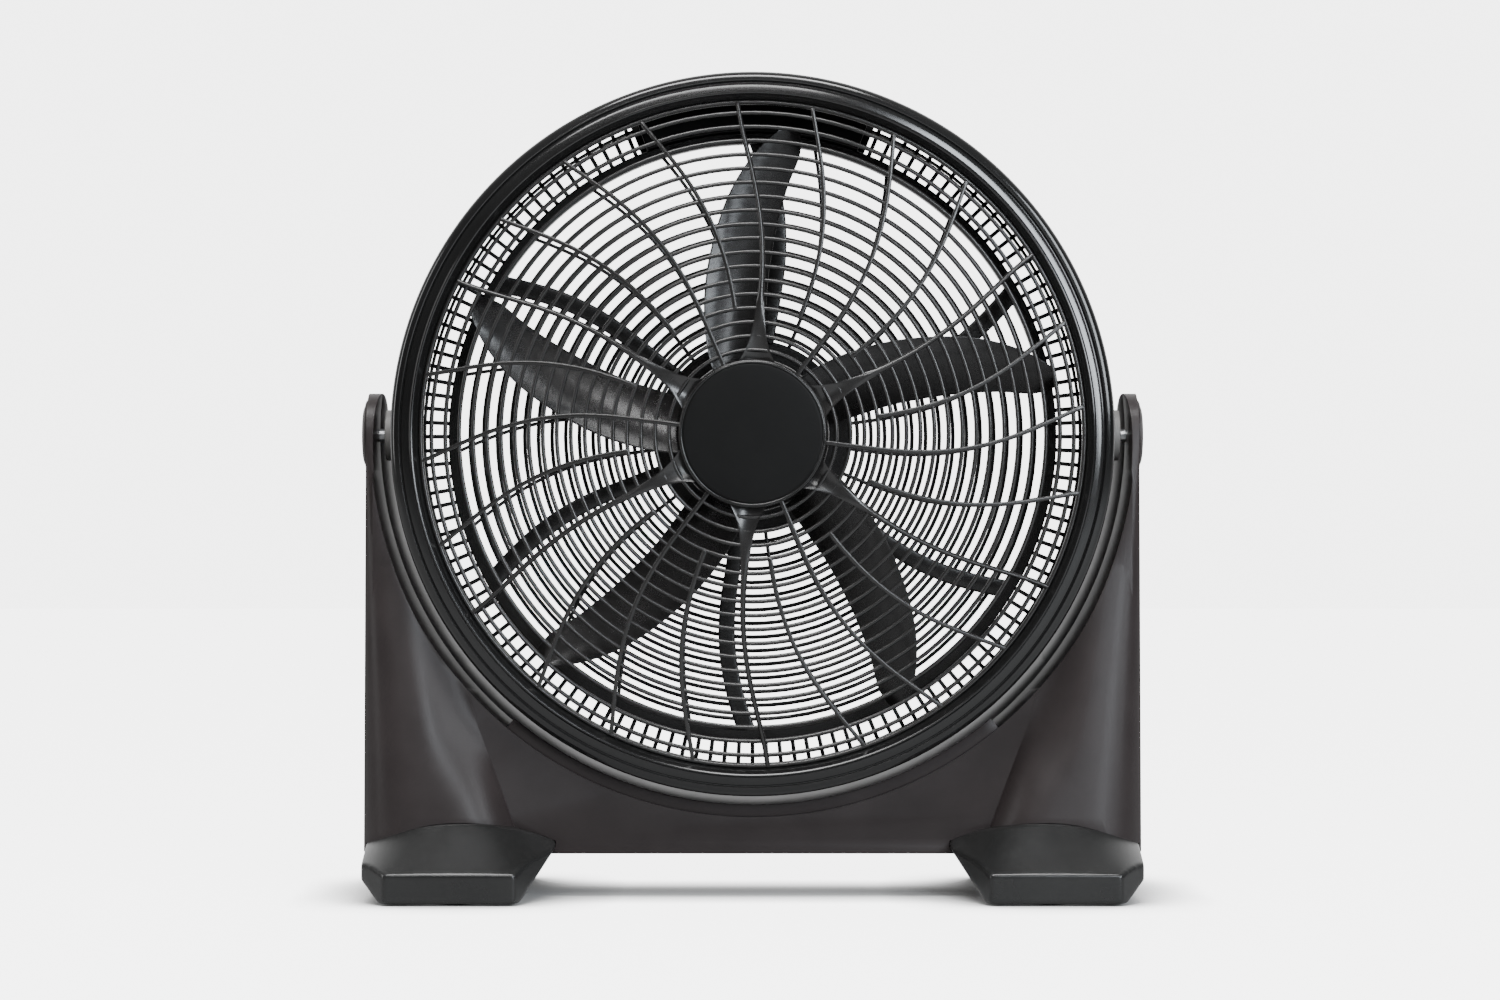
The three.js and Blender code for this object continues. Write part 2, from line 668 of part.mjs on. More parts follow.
function controlCover() {
  const plate = arcBlock(controlHalfAngle + 1.3, controlInner - 4, controlOuter + 4, coverFront, coverBack);
  const holes = [
    rod('y', spindleRadius + 2 + boltGap, coverFront - 1, coverBack + 1, knobPlace, roundFacets),
    rod('y', glandRadius - 1.5, coverFront - 1, coverBack + 1, glandPlace, roundFacets),
    ...coverScrewPlaces.map((at) => rod('y', screwRadius + boltGap, coverFront - 1, coverBack + 1, at)),
  ];
  return plate.subtract(join(holes));
}

function carryHandle() {
  const base = coverBack + touchGap;
  const inside = handleSpan / 2;
  const outside = handleOutside;
  const tip = base + handleReach + handleThickness;
  const arc = (centre, radius, from, to) => Array.from({ length: 4 }, (_, i) => {
    const turn = radians(lerp(from, to, i / 3));
    return [centre[0] + radius * Math.cos(turn), centre[1] + radius * Math.sin(turn)];
  });
  const bend = 8;
  const outline = [
    [outside, base], ...arc([outside - 2 * bend, tip - 2 * bend], 2 * bend, 0, 90),
    ...arc([2 * bend - outside, tip - 2 * bend], 2 * bend, 90, 180), [-outside, base], [-inside, base],
    ...arc([bend - inside, base + handleReach - bend], bend, 180, 90),
    ...arc([inside - bend, base + handleReach - bend], bend, 90, 0), [inside, base],
  ];
  const middle = controlMiddle - 2;
  return slabAlongZ(outline, middle - handleHeight / 2, middle + handleHeight / 2);
}

function speedKnob() {
  const base = coverBack + 0.8;
  const skirt = rod('y', knobRadius, base, base + 5, knobPlace, roundFacets);
  const grip = rod('y', knobRadius - 2.5, base, base + knobLength, knobPlace, roundFacets);
  const [x, , z] = knobPlace;
  const half = pointerWidth / 2;
  const pointer = box([x - half, base, z], [x + half, base + knobLength, z + knobRadius - 0.5]);
  const spindle = rod('y', spindleRadius, coverFront - 6, base + 2, knobPlace, roundFacets);
  return join([skirt, grip, pointer, spindle]);
}

function speedSwitch() {
  const back = coverFront - 1;
  const half = 7;
  const upright = box([-11, back - 26, controlMiddle - half], [11, back - 4, controlMiddle + half]);
  const can = roundFace(upright, knobAngle);
  const bush = rod('y', spindleRadius + 2, back - 5, coverBack, knobPlace, roundFacets);
  const bore = rod('y', spindleRadius + boltGap, back - 12, coverBack + 1, knobPlace, roundFacets);
  return can.add(bush).subtract(bore);
}

function cordGland() {
  const base = coverBack + touchGap;
  return join([
    rod('y', glandRadius, base, base + 3, glandPlace, roundFacets),
    rod('y', glandRadius - 2, coverFront - 4, base + 14, glandPlace, roundFacets),
  ]).subtract(rod('y', 3.2, coverFront - 5, base + 15, glandPlace));
}

function wireCover() {
  return faceBar({
    from: motorCoverRadius + 1, to: ductRadius - 12, steps: 6, depth: 4,
    angle: (radius) => strutAngle(radius, -0.5), width: () => strutWidth * 0.6,
    front: () => motorPlateBack + touchGap,
  });
}

// ---------------------------------------------------------------------------
// Motor and propeller
// ---------------------------------------------------------------------------
const rearBellBack = motorPlateFront - touchGap;
const coreMiddle = rearBellBack - bellLength - 1;
const coreBack = coreMiddle + coreLength / 2;
const coreFront = coreMiddle - coreLength / 2;
const frontBellFront = coreMiddle - bellLength - 1;
const hubBack = frontBellFront - 5;
const hubFront = hubBack - hubDepth;
const nutFront = hubFront - 8;
const shaftBack = rearBellBack + 2;
const pinAt = hubBack - 2 * pinRadius;

/** One end of the motor's housing. side is -1 for the front bell and 1 for the rear one. */
function motorBell(side) {
  const end = side < 0 ? frontBellFront : rearBellBack;
  const rim = coreMiddle + side * touchGap / 2;
  const at = (depth) => end - side * depth;
  const shell = revolve([
    [shaftRadius + 1.5, end], [motorRadius - 4, end], [motorRadius, at(4)], [motorRadius, rim],
    [statorRadius + touchGap, rim], [statorRadius + touchGap, at(3)], [bearingRadius + 3, at(3)],
    [bearingRadius + 3, at(bearingSeat + bearingWidth)],
    [bearingRadius + touchGap, at(bearingSeat + bearingWidth)], [bearingRadius + touchGap, at(bearingSeat)],
    [shaftRadius + 1.5, at(bearingSeat)],
  ], motorFacets);
  const holes = motorBoltPlaces.map((at3) => rod('y', motorBoltRadius + boltGap, frontBellFront - 1,
    rearBellBack + 1, at3));
  return shell.subtract(join(holes));
}

function bearing(side) {
  const end = side < 0 ? frontBellFront : rearBellBack;
  const [front, back] = [
    end - side * (bearingSeat + touchGap), end - side * (bearingSeat + bearingWidth),
  ].sort((a, b) => a - b);
  return tube(shaftRadius + touchGap / 2, bearingRadius, front, back, roundFacets);
}

function statorCore() {
  return tube(rotorCoreRadius + runGap, statorRadius, coreFront, coreBack, motorFacets);
}

function winding(side) {
  const near = coreMiddle + side * (coreLength / 2 + touchGap);
  const [front, back] = [near, near + side * windingLength].sort((a, b) => a - b);
  return tube(rotorCoreRadius + 2, statorRadius - 4, front, back, motorFacets);
}

function motorBolt(at) {
  const shank = rod('y', motorBoltRadius, frontBellFront + 6, motorPlateBack + touchGap, at);
  const head = rod('y', motorBoltRadius + 1.7, motorPlateBack + touchGap, motorPlateBack + 3.5, at, 6);
  return shank.add(head);
}

function motorCover() {
  const base = motorPlateBack + touchGap;
  const top = base + motorCoverDepth;
  const shell = revolve([
    [motorCoverRadius, base], [motorCoverRadius, top - 8], [motorCoverRadius - 8, top], [0, top],
    [0, top - controlWall], [motorCoverRadius - 9, top - controlWall],
    [motorCoverRadius - controlWall, top - 9], [motorCoverRadius - controlWall, base],
  ], motorFacets);
  const slots = [-24, -12, 0, 12, 24].map((z) => box([-22, top - 5, z - 2], [22, top + 1, z + 2]));
  return shell.subtract(join(slots));
}

function capacitor() {
  const base = motorPlateBack + 1;
  return box([16, base, -14], [46, base + 16, 14]);
}

function motorShaft() {
  const body = disc(shaftRadius, nutFront + 1, shaftBack, roundFacets);
  return body.subtract(rod('x', pinRadius + boltGap / 2, -9, 9, [0, pinAt, 0]));
}

function drivePin() {
  return rod('x', pinRadius, -pinLength / 2, pinLength / 2, [0, pinAt, 0]);
}

function rotorCore() {
  return tube(shaftRadius + touchGap / 2, rotorCoreRadius, coreFront + 0.5, coreBack - 0.5, motorFacets);
}

/** The propeller: a cup-shaped hub and scythe-shaped blades, twisted to push air towards -Y. */
function propeller() {
  const slotBoss = pinLength / 2 + 3;
  const hub = revolve([
    [shaftRadius + boltGap, hubFront], [hubRadius - 8, hubFront], [hubRadius, hubFront + 8],
    [hubRadius, hubBack], [hubRadius - hubWall, hubBack],
    [hubRadius - hubWall, hubFront + 10], [hubRadius - 12, hubFront + hubWall],
    [slotBoss, hubFront + hubWall], [slotBoss, hubBack], [shaftRadius + boltGap, hubBack],
  ], motorFacets);
  const slotReach = pinLength / 2 + 2;
  const slot = box([-slotReach, pinAt - pinRadius - boltGap, -pinRadius - boltGap],
    [slotReach, hubBack + 1, pinRadius + boltGap]);
  const edge = (pairs) => new THREE.CatmullRomCurve3(pairs.map(([x, y]) => new THREE.Vector3(x, y, 0)));
  const trailing = edge(trailingEdge);
  const leading = edge(leadingEdge);
  const blades = Array.from({ length: bladeCount }, (_, k) => warpedBlock([6, 1, 2], (u, v, w) => {
    const radius = lerp(hubRadius - hubWall / 2, bladeTipRadius, u);
    const chord = lerp(trailing.getPoint(u).y, leading.getPoint(u).y, w);
    const angle = 8 + 360 / bladeCount * k + chord;
    const rise = lerp(17, 6, u) * (2 * w - 1) - lerp(5, 2, u) * Math.sin(Math.PI * w);
    const y = (hubFront + hubBack) / 2 + rise + (v - 0.5) * bladeThickness;
    return onFace(radius, angle, y);
  }));
  return join([hub, ...blades]).subtract(slot);
}

function bladeNut() {
  const back = hubFront - touchGap;
  return revolve([
    [shaftRadius + touchGap / 2, back], [12, back], [12, back - 4], [8, nutFront],
    [shaftRadius + touchGap / 2, nutFront],
  ], roundFacets);
}

// ---------------------------------------------------------------------------
// Materials and assembly
// ---------------------------------------------------------------------------
const finishes = {
  standPlastic: { color: 0x35302f, roughness: 0.55, metalness: 0 },
  footPlastic: { color: 0x2f3032, roughness: 0.42, metalness: 0 },
  glossBlack: { color: 0x0c0c0e, roughness: 0.2, metalness: 0 },
  grilleBlack: { color: 0x1d1a1a, roughness: 0.35, metalness: 0 },
  mattBlack: { color: 0x171617, roughness: 0.6, metalness: 0 },
  bladeBlack: { color: 0x141214, roughness: 0.25, metalness: 0 },
  rubber: { color: 0x101010, roughness: 0.9, metalness: 0 },
  steel: { color: 0xb9bcc0, roughness: 0.35, metalness: 1 },
  castAluminium: { color: 0x9da0a3, roughness: 0.5, metalness: 1 },
  laminations: { color: 0x5d5f63, roughness: 0.6, metalness: 1 },
  copper: { color: 0xb4643c, roughness: 0.4, metalness: 1 },
  paleNylon: { color: 0xc9c7c2, roughness: 0.5, metalness: 0 },
};

const materials = Object.fromEntries(Object.entries(finishes)
  .map(([name, finish]) => [name, new THREE.MeshStandardMaterial(finish)]));

const fan = new THREE.Group();
const head = new THREE.Group();
head.position.set(0, 0, headHeight);
fan.add(head);

/** Adds a solid to a group as a named mesh. */
function addPiece(group, name, solid, finish) {
  const { vertProperties, triVerts } = solid.getMesh();
  const geometry = new THREE.BufferGeometry();
  geometry.setAttribute('position', new THREE.BufferAttribute(new Float32Array(vertProperties), 3));
  geometry.setIndex(new THREE.BufferAttribute(new Uint32Array(triVerts), 1));
  geometry.computeVertexNormals();
  const mesh = new THREE.Mesh(geometry, materials[finish]);
  mesh.name = name;
  group.add(mesh);
}

/** Adds a right-hand piece and its mirror image. */
function addPair(group, name, solid, finish) {
  addPiece(group, `${name}_right`, solid, finish);
  addPiece(group, `${name}_left`, otherSide(solid), finish);
}

// Stand
addPiece(fan, 'stand_front', standHalf('front'), 'standPlastic');
addPiece(fan, 'stand_rear', standHalf('rear'), 'standPlastic');
addPair(fan, 'foot', footShell(), 'footPlastic');
for (const [end, y] of [['front', padPlaces[0]], ['rear', padPlaces[1]]]) {
  const pad = rod('z', padRadius, 0, padHeight, [footMiddle, y, 0], roundFacets);
  const screwAt = [footMiddle, Math.sign(y) * footScrewY, 0];
  addPair(fan, `foot_pad_${end}`, pad, 'rubber');
  addPair(fan, `foot_screw_${end}`, screw('z', footArch - 28 - touchGap, footArch + 12, screwAt), 'steel');
}
for (const [place, [x, z]] of [['outer', standScrewPlaces[0]], ['inner', standScrewPlaces[1]]]) {
  const clamp = screw('y', standScrewSeat + touchGap, -standScrewBite, [x, 0, z]);
  addPair(fan, `stand_screw_${place}`, clamp, 'steel');
}

// Pivots
addPair(head, 'pivot_bolt', pivotBolt(), 'steel');
addPair(head, 'pivot_nut', pivotNut(), 'steel');
addPair(head, 'friction_washer', frictionWasher(), 'paleNylon');
addPair(head, 'pivot_cap', pivotCap(), 'standPlastic');

// Drum and grilles
addPiece(head, 'rim_bezel', rimBezel(), 'glossBlack');
addPiece(head, 'front_grille', frontGrille(), 'grilleBlack');
addPiece(head, 'hub_cap', hubCap(), 'mattBlack');
addPiece(head, 'drum_shell', drumShell(), 'mattBlack');
addPiece(head, 'rear_grille', rearGrille(), 'grilleBlack');

// Controls
addPiece(head, 'control_box', controlBox(), 'mattBlack');
addPiece(head, 'control_cover', controlCover(), 'mattBlack');
addPiece(head, 'carry_handle', carryHandle(), 'mattBlack');
addPiece(head, 'speed_knob', speedKnob(), 'glossBlack');
addPiece(head, 'speed_switch', speedSwitch(), 'paleNylon');
addPiece(head, 'cord_gland', cordGland(), 'rubber');
addPiece(head, 'wire_cover', wireCover(), 'mattBlack');
coverScrewPlaces.forEach((at, i) => {
  addPiece(head, `cover_screw_${i + 1}`, screw('y', coverBack + touchGap, coverBack - 12, at), 'steel');
});

// Motor
addPiece(head, 'motor_front_bell', motorBell(-1), 'castAluminium');
addPiece(head, 'motor_rear_bell', motorBell(1), 'castAluminium');
addPiece(head, 'stator_core', statorCore(), 'laminations');
addPiece(head, 'winding_front', winding(-1), 'copper');
addPiece(head, 'winding_rear', winding(1), 'copper');
addPiece(head, 'bearing_front', bearing(-1), 'steel');
addPiece(head, 'bearing_rear', bearing(1), 'steel');
motorBoltPlaces.forEach((at, i) => addPiece(head, `motor_bolt_${i + 1}`, motorBolt(at), 'steel'));
addPiece(head, 'motor_cover', motorCover(), 'mattBlack');
addPiece(head, 'capacitor', capacitor(), 'paleNylon');

// Rotor
addPiece(head, 'motor_shaft', motorShaft(), 'steel');
addPiece(head, 'rotor_core', rotorCore(), 'laminations');
addPiece(head, 'propeller', propeller(), 'bladeBlack');
addPiece(head, 'blade_nut', bladeNut(), 'glossBlack');
addPiece(head, 'drive_pin', drivePin(), 'steel');

export default fan;
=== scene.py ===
# %% [markdown]
# # A drum fan that tilts in a U-shaped stand
# The bodies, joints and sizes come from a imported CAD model, which is loaded here as a fixed frame.
# This lesson gives the fan its fine surface: round bars instead of faceted ones, soft moulded
# edges, thin spokes, and a finish with grain and gloss for every plastic and metal.

# %% Load the frame
import json
import math

import bpy
from mathutils import Matrix, Quaternion, Vector


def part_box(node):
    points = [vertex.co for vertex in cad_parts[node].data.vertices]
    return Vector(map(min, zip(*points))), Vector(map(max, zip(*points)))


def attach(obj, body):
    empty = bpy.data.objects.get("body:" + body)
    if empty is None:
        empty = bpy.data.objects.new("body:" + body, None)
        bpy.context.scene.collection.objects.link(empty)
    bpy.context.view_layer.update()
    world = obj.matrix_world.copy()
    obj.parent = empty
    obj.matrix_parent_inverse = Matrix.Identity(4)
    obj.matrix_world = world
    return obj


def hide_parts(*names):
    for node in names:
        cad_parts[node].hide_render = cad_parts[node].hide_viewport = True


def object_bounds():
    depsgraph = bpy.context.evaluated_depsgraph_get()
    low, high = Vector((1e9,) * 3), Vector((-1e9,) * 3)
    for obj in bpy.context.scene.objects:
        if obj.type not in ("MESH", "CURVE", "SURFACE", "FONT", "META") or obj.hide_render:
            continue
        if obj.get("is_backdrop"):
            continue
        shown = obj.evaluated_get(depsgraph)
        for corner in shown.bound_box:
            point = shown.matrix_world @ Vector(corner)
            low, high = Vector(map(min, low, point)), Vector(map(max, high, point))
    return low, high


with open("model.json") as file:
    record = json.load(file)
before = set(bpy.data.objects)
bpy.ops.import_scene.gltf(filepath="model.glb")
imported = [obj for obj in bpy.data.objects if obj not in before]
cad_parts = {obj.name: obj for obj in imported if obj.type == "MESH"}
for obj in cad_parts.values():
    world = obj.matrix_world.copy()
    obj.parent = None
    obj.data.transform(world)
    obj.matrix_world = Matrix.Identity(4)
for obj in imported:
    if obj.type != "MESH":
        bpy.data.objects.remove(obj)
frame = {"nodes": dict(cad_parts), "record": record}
cad_low, cad_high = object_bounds()
MM = 0.001
print("CAD box", [round(v, 4) for v in (*cad_low, *cad_high)])

# %% [markdown]
# ## Camera
# The camera comes first, because everything is judged through it. It is a long lens, level and
# almost square to the front, at about half the fan's height.

# %% Camera
rim_low, rim_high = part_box("rim_bezel")
axis_z = (rim_low[2] + rim_high[2]) / 2
rim_radius = (rim_high[0] - rim_low[0]) / 2
rim_front = rim_low[1]

camera_data = bpy.data.cameras.new("studio_camera")
camera_data.lens = 93.5
camera_data.sensor_width = 36
camera = bpy.data.objects.new("studio_camera", camera_data)
camera.location = (-0.002, rim_front - 3.0, 0.309)
camera.rotation_euler = (math.radians(90), 0, 0)
bpy.context.scene.collection.objects.link(camera)
bpy.context.scene.camera = camera
print("camera at", tuple(camera.location))

# %% [markdown]
# ## Helpers for modelling
# Every piece starts as one primitive, is shaped in edit mode and ends with its place in its mesh.
# `begin` adds the primitive with nothing else selected, and `end` closes and names the piece.

# %% Begin and end a piece
MERGE = 0.002 * MM  # points closer than this are one


def begin(kind, **settings):
    """Adds a primitive alone in the selection and opens it for editing."""
    bpy.ops.object.select_all(action="DESELECT")
    getattr(bpy.ops.mesh, f"primitive_{kind}_add")(**settings)
    piece = bpy.context.object
    bpy.ops.object.transform_apply(location=True, rotation=True, scale=True)
    bpy.ops.object.mode_set(mode="EDIT")
    bpy.ops.mesh.select_all(action="SELECT")
    return piece


def end(piece, name):
    """Merges doubled points, turns the faces outwards, and closes the edit."""
    bpy.ops.mesh.select_all(action="SELECT")
    bpy.ops.mesh.remove_doubles(threshold=MERGE)
    bpy.ops.mesh.normals_make_consistent(inside=False)
    bpy.ops.object.mode_set(mode="OBJECT")
    piece.name = name
    piece.data.name = name
    return piece


def only(piece):
    """Makes one piece the whole selection."""
    bpy.ops.object.select_all(action="DESELECT")
    piece.select_set(True)
    bpy.context.view_layer.objects.active = piece


def finished(piece, kind, **settings):
    """Adds a modifier and applies it."""
    only(piece)
    modifier = piece.modifiers.new(kind.title(), kind)
    for key, value in settings.items():
        setattr(modifier, key, value)
    bpy.ops.object.modifier_apply(modifier=modifier.name)
    return piece


def softened(piece, width, segments=2, angle=32):
    """Rounds the edges that are sharper than an angle."""
    return finished(piece, "BEVEL", width=width, segments=segments, limit_method="ANGLE",
                    angle_limit=math.radians(angle), use_clamp_overlap=True)


def smoothed(piece, angle=38):
    """Shades a piece smooth, apart from its real edges."""
    only(piece)
    bpy.ops.object.shade_smooth_by_angle(angle=math.radians(angle))
    return piece


# %% [markdown]
# ## Turned shapes
# A rim, a cap or a knob is round about one axis. It starts as a circle, which is extruded and
# scaled from one pair of an outline to the next, as a potter pulls up a wall. The outline closes
# on itself, or starts and ends on the axis.

# %% Turned shapes
AXIS_TURN = {"X": (0, math.pi / 2, 0), "Y": (math.pi / 2, 0, 0), "Z": (0, 0, 0)}
ON_AXIS = 0.0005 * MM  # a pole is a ring this small, which closes when doubles are merged


def turned(name, outline, centre=None, along="Y", facets=144):
    """Turns an outline of (radius, place along the axis) pairs about a line through centre."""
    centre = Vector(centre if centre else (0, 0, axis_z))
    lane = "XYZ".index(along)
    pairs = [(max(radius, ON_AXIS), place) for radius, place in outline]
    first = 1 if outline[0][0] == 0 else 0
    centre[lane] = pairs[first][1]
    piece = begin("circle", vertices=facets, radius=pairs[first][0], location=centre,
                  rotation=AXIS_TURN[along])

    def pull(now, then):
        step = [0, 0, 0]
        step[lane] = then[1] - now[1]
        centre[lane] = then[1]
        scale = [then[0] / now[0]] * 3
        scale[lane] = 1
        bpy.ops.mesh.extrude_region_move(TRANSFORM_OT_translate={"value": step})
        bpy.ops.transform.resize(value=scale, center_override=centre)

    for now, then in zip(pairs[first:], pairs[first + 1:]):
        pull(now, then)
    if first:
        bpy.ops.mesh.select_all(action="SELECT")
        bpy.ops.mesh.remove_doubles(threshold=MERGE)
        bpy.ops.mesh.select_all(action="DESELECT")
        bpy.ops.mesh.select_non_manifold()
        pull(pairs[1], pairs[0])
    return end(piece, name)


def closed(outline):
    """An outline that comes back to its first pair."""
    return [*outline, outline[0]]


def steps_in(radius, place, pairs, way=1):
    """Outline pairs from steps in millimetres: inwards from a radius, and onwards from a place."""
    return [(radius - inwards * MM, place + way * onwards * MM) for inwards, onwards in pairs]


def ring(name, radius, thickness, y, facets, round_facets=8):
    """A round bar bent into a ring about the drum's axis. The thickness is a radius."""
    return end(begin("torus", major_radius=radius, minor_radius=thickness, major_segments=facets,
                     minor_segments=round_facets, location=(0, y, axis_z), rotation=AXIS_TURN["Y"]), name)


# %% [markdown]
# ## Shaped blocks
# A spoke, a blade or a foot is a grid that is given thickness and then bent into place. The grid
# keeps its own count of squares each way, so a long bar has many along it and one across.

# %% Shaped blocks


def shaped(name, across, along, place, layers=1):
    """A grid made thick, whose corners go to place(u, v, w) with u, v and w from 0 to 1."""
    piece = begin("grid", x_subdivisions=across, y_subdivisions=along, size=1, location=(0.5, 0.5, 0))
    for _ in range(layers):
        bpy.ops.mesh.extrude_region_move(TRANSFORM_OT_translate={"value": (0, 0, 1 / layers)})
    bpy.ops.object.mode_set(mode="OBJECT")
    for vertex in piece.data.vertices:
        u, v, w = (round(value, 5) for value in vertex.co)
        vertex.co = place(u, v, w)
    bpy.ops.object.mode_set(mode="EDIT")
    return end(piece, name)


def on_face(radius, degrees, y):
    """A point on the drum's face: clockwise degrees from the top, seen from the front."""
    turn = math.radians(degrees)
    return Vector((radius * math.sin(turn), y, axis_z + radius * math.cos(turn)))


def mix(low, high, share):
    """The value a share of the way from low to high."""
    return low + (high - low) * share


def face_bar(name, start, stop, angle, width, front, depth, steps=24):
    """A bar on the drum's face, from one radius to another, that may curve, widen and bulge."""
    def place(u, v, w):
        radius = mix(start, stop, u)
        point = on_face(radius, angle(radius), 0)
        sideways = Vector((point.z - axis_z, 0, -point.x)).normalized()
        point += sideways * ((v - 0.5) * width(radius))
        point.y = front(radius) + w * depth
        return point
    return shaped(name, steps, 1, place)


def duplicate(piece):
    """A copy in the scene with a mesh of its own."""
    copy = piece.copy()
    copy.data = piece.data.copy()
    bpy.context.scene.collection.objects.link(copy)
    return copy


def turned_copies(piece, angles):
    """Copies a piece round the drum's axis, and joins the copies to it."""
    about = Matrix.Translation((0, 0, axis_z))
    copies = [duplicate(piece) for _ in angles]
    for copy, degrees in zip(copies, angles):
        copy.data.transform(about @ Matrix.Rotation(math.radians(degrees), 4, "Y") @ about.inverted())
    return joined(piece, copies)


def joined(piece, others):
    """Joins other pieces to a piece, as loose shells in one mesh."""
    bpy.ops.object.select_all(action="DESELECT")
    for other in others:
        other.select_set(True)
    piece.select_set(True)
    bpy.context.view_layer.objects.active = piece
    bpy.ops.object.join()
    return piece


def placed(piece, body, slot_name, *nodes):
    """Lets a piece ride on its body, take its finish from a slot, and stand for its CAD nodes."""
    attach(piece, body)
    if nodes:
        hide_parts(*nodes)
    piece.data.materials.clear()
    piece.data.materials.append(FINISHES[slot_name])
    return piece


# %% [markdown]
# ## Finishes
# Shader sums read best as sums. `Wire` wraps a socket, so that an expression on it adds Math
# nodes, and `Finish.node` makes any other node from its type, its settings and its inputs.

# %% Nodes as expressions


class Wire:
    """A value on its way through a finish. Sums on it become Math nodes."""

    def __init__(self, finish, socket):
        self.finish = finish
        self.socket = socket

    def sum(self, operation, first, second):
        return self.finish.node("ShaderNodeMath", {"operation": operation}, {0: first, 1: second})

    def __add__(self, other):
        return self.sum("ADD", self, other)

    def __sub__(self, other):
        return self.sum("SUBTRACT", self, other)

    def __rsub__(self, other):
        return self.sum("SUBTRACT", other, self)

    def __mul__(self, other):
        return self.sum("MULTIPLY", self, other)

    def __pow__(self, other):
        return self.sum("POWER", self, other)

    __radd__ = __add__
    __rmul__ = __mul__


class Finish:
    """The nodes of a material or a world, built up from wires."""

    def __init__(self, owner, shader="Principled BSDF"):
        self.owner = owner
        owner.use_nodes = True
        self.tree = owner.node_tree
        self.shader = self.tree.nodes[shader]
        self.place = self.node("ShaderNodeTexCoord", {}, {}, output="Object")

    def node(self, kind, settings, inputs, output=0):
        """Adds a node, sets it up, feeds it, and gives the wire of one of its outputs."""
        made = self.tree.nodes.new(kind)
        for key, value in settings.items():
            if key == "stops":
                for stop, (at, shade) in zip(made.color_ramp.elements, value):
                    stop.position = at
                    stop.color = (shade, shade, shade, 1)
            else:
                setattr(made, key, value)
        for key, value in inputs.items():
            if isinstance(value, Wire):
                self.tree.links.new(value.socket, made.inputs[key])
            else:
                made.inputs[key].default_value = value
        return Wire(self, made.outputs[output])

    def feed(self, **wires):
        """Joins wires or plain values to the shader: base_color feeds Base Color, and so on."""
        for key, value in wires.items():
            socket = self.shader.inputs[key.replace("_", " ").title().replace("Ior", "IOR")]
            if isinstance(value, Wire):
                self.tree.links.new(value.socket, socket)
            else:
                socket.default_value = value

    def noise(self, size, detail=3.0, stretch=(1, 1, 1), rough=0.5):
        """Noise whose blotches are about a size across, in metres."""
        spot = self.place
        if stretch != (1, 1, 1):
            spot = self.node("ShaderNodeMapping", {}, {"Vector": self.place, "Scale": stretch})
        return self.node("ShaderNodeTexNoise", {}, {"Vector": spot, "Scale": 1 / size, "Detail": detail,
                                                    "Roughness": rough})

    def ramp(self, value, low, high):
        """Spreads the part of a value between two levels over 0 to 1."""
        return self.node("ShaderNodeMapRange", {"clamp": True},
                         {"Value": value, "From Min": low, "From Max": high})

    def blend(self, share, first, second):
        """Mixes two colours by a share."""
        return self.node("ShaderNodeMix", {"data_type": "RGBA"}, {0: share, 6: first, 7: second}, output=2)

    def bump(self, height, depth, strength=1.0, under=None):
        """Turns a height from 0 to 1 into a relief of a depth in metres."""
        inputs = {"Height": height, "Distance": depth, "Strength": strength}
        if under:
            inputs["Normal"] = under
        return self.node("ShaderNodeBump", {}, inputs)


def grey(value, tint=(1, 1, 1)):
    """A dark plastic's colour: one level, with a slight tint."""
    return (*(value * part for part in tint), 1)


# %% [markdown]
# ### Moulded plastic
# Injection moulding leaves a skin: fine spark-eroded grain on matt parts, faint flow waves on
# glossy ones, and a little dust that settles on what faces up. Colour hardly changes, so most of
# the detail is in the roughness and the relief.

# %% Moulded plastic


def moulded(name, colour, rough, grain=0.35 * MM, grain_depth=0.02 * MM, wave=0.0, dust=0.06, spread=0.06,
            shine=0.5):
    """A black or charcoal plastic with grain, flow waves, cloudy gloss and settled dust."""
    finish = Finish(bpy.data.materials.new(name))
    cloud = finish.noise(45 * MM, 4)
    speck = finish.noise(grain, 2)
    facing = finish.node("ShaderNodeTexCoord", {}, {}, "Normal")
    up = finish.node("ShaderNodeSeparateXYZ", {}, {0: facing}, "Z")
    film = finish.ramp(up, 0.35, 1.0) * finish.ramp(finish.noise(6 * MM, 5), 0.42, 0.75) * dust
    light = [min(part * 1.25, 1) for part in colour[:3]]
    shade = finish.blend(finish.ramp(cloud, 0.3, 0.7), colour, (*light, 1))
    finish.feed(
        base_color=finish.blend(film * 0.35, shade, (0.32, 0.31, 0.3, 1)),
        roughness=finish.ramp(cloud, 0.25, 0.75) * spread + speck * spread + film * 0.3 + (rough - spread),
    )
    finish.feed(specular_ior_level=shine)
    relief = finish.bump(speck, grain_depth)
    if wave:
        relief = finish.bump(finish.noise(16 * MM, 1.5), wave, under=relief)
    finish.feed(normal=relief)
    return finish.owner


def scratched(name, colour, rough, metal, streak=(1, 1, 1), size=0.8 * MM, spread=0.12, depth=0.01 * MM):
    """A bare metal with a directional grain and slight stains."""
    finish = Finish(bpy.data.materials.new(name))
    lines = finish.noise(size, 3, streak)
    stain = finish.noise(12 * MM, 4)
    dark = [part * 0.72 for part in colour[:3]]
    finish.feed(
        base_color=finish.blend(finish.ramp(stain, 0.35, 0.7), colour, (*dark, 1)),
        roughness=lines * spread + finish.ramp(stain, 0.3, 0.8) * 0.1 + (rough - spread / 2),
        normal=finish.bump(lines, depth),
        metallic=metal,
    )
    return finish.owner


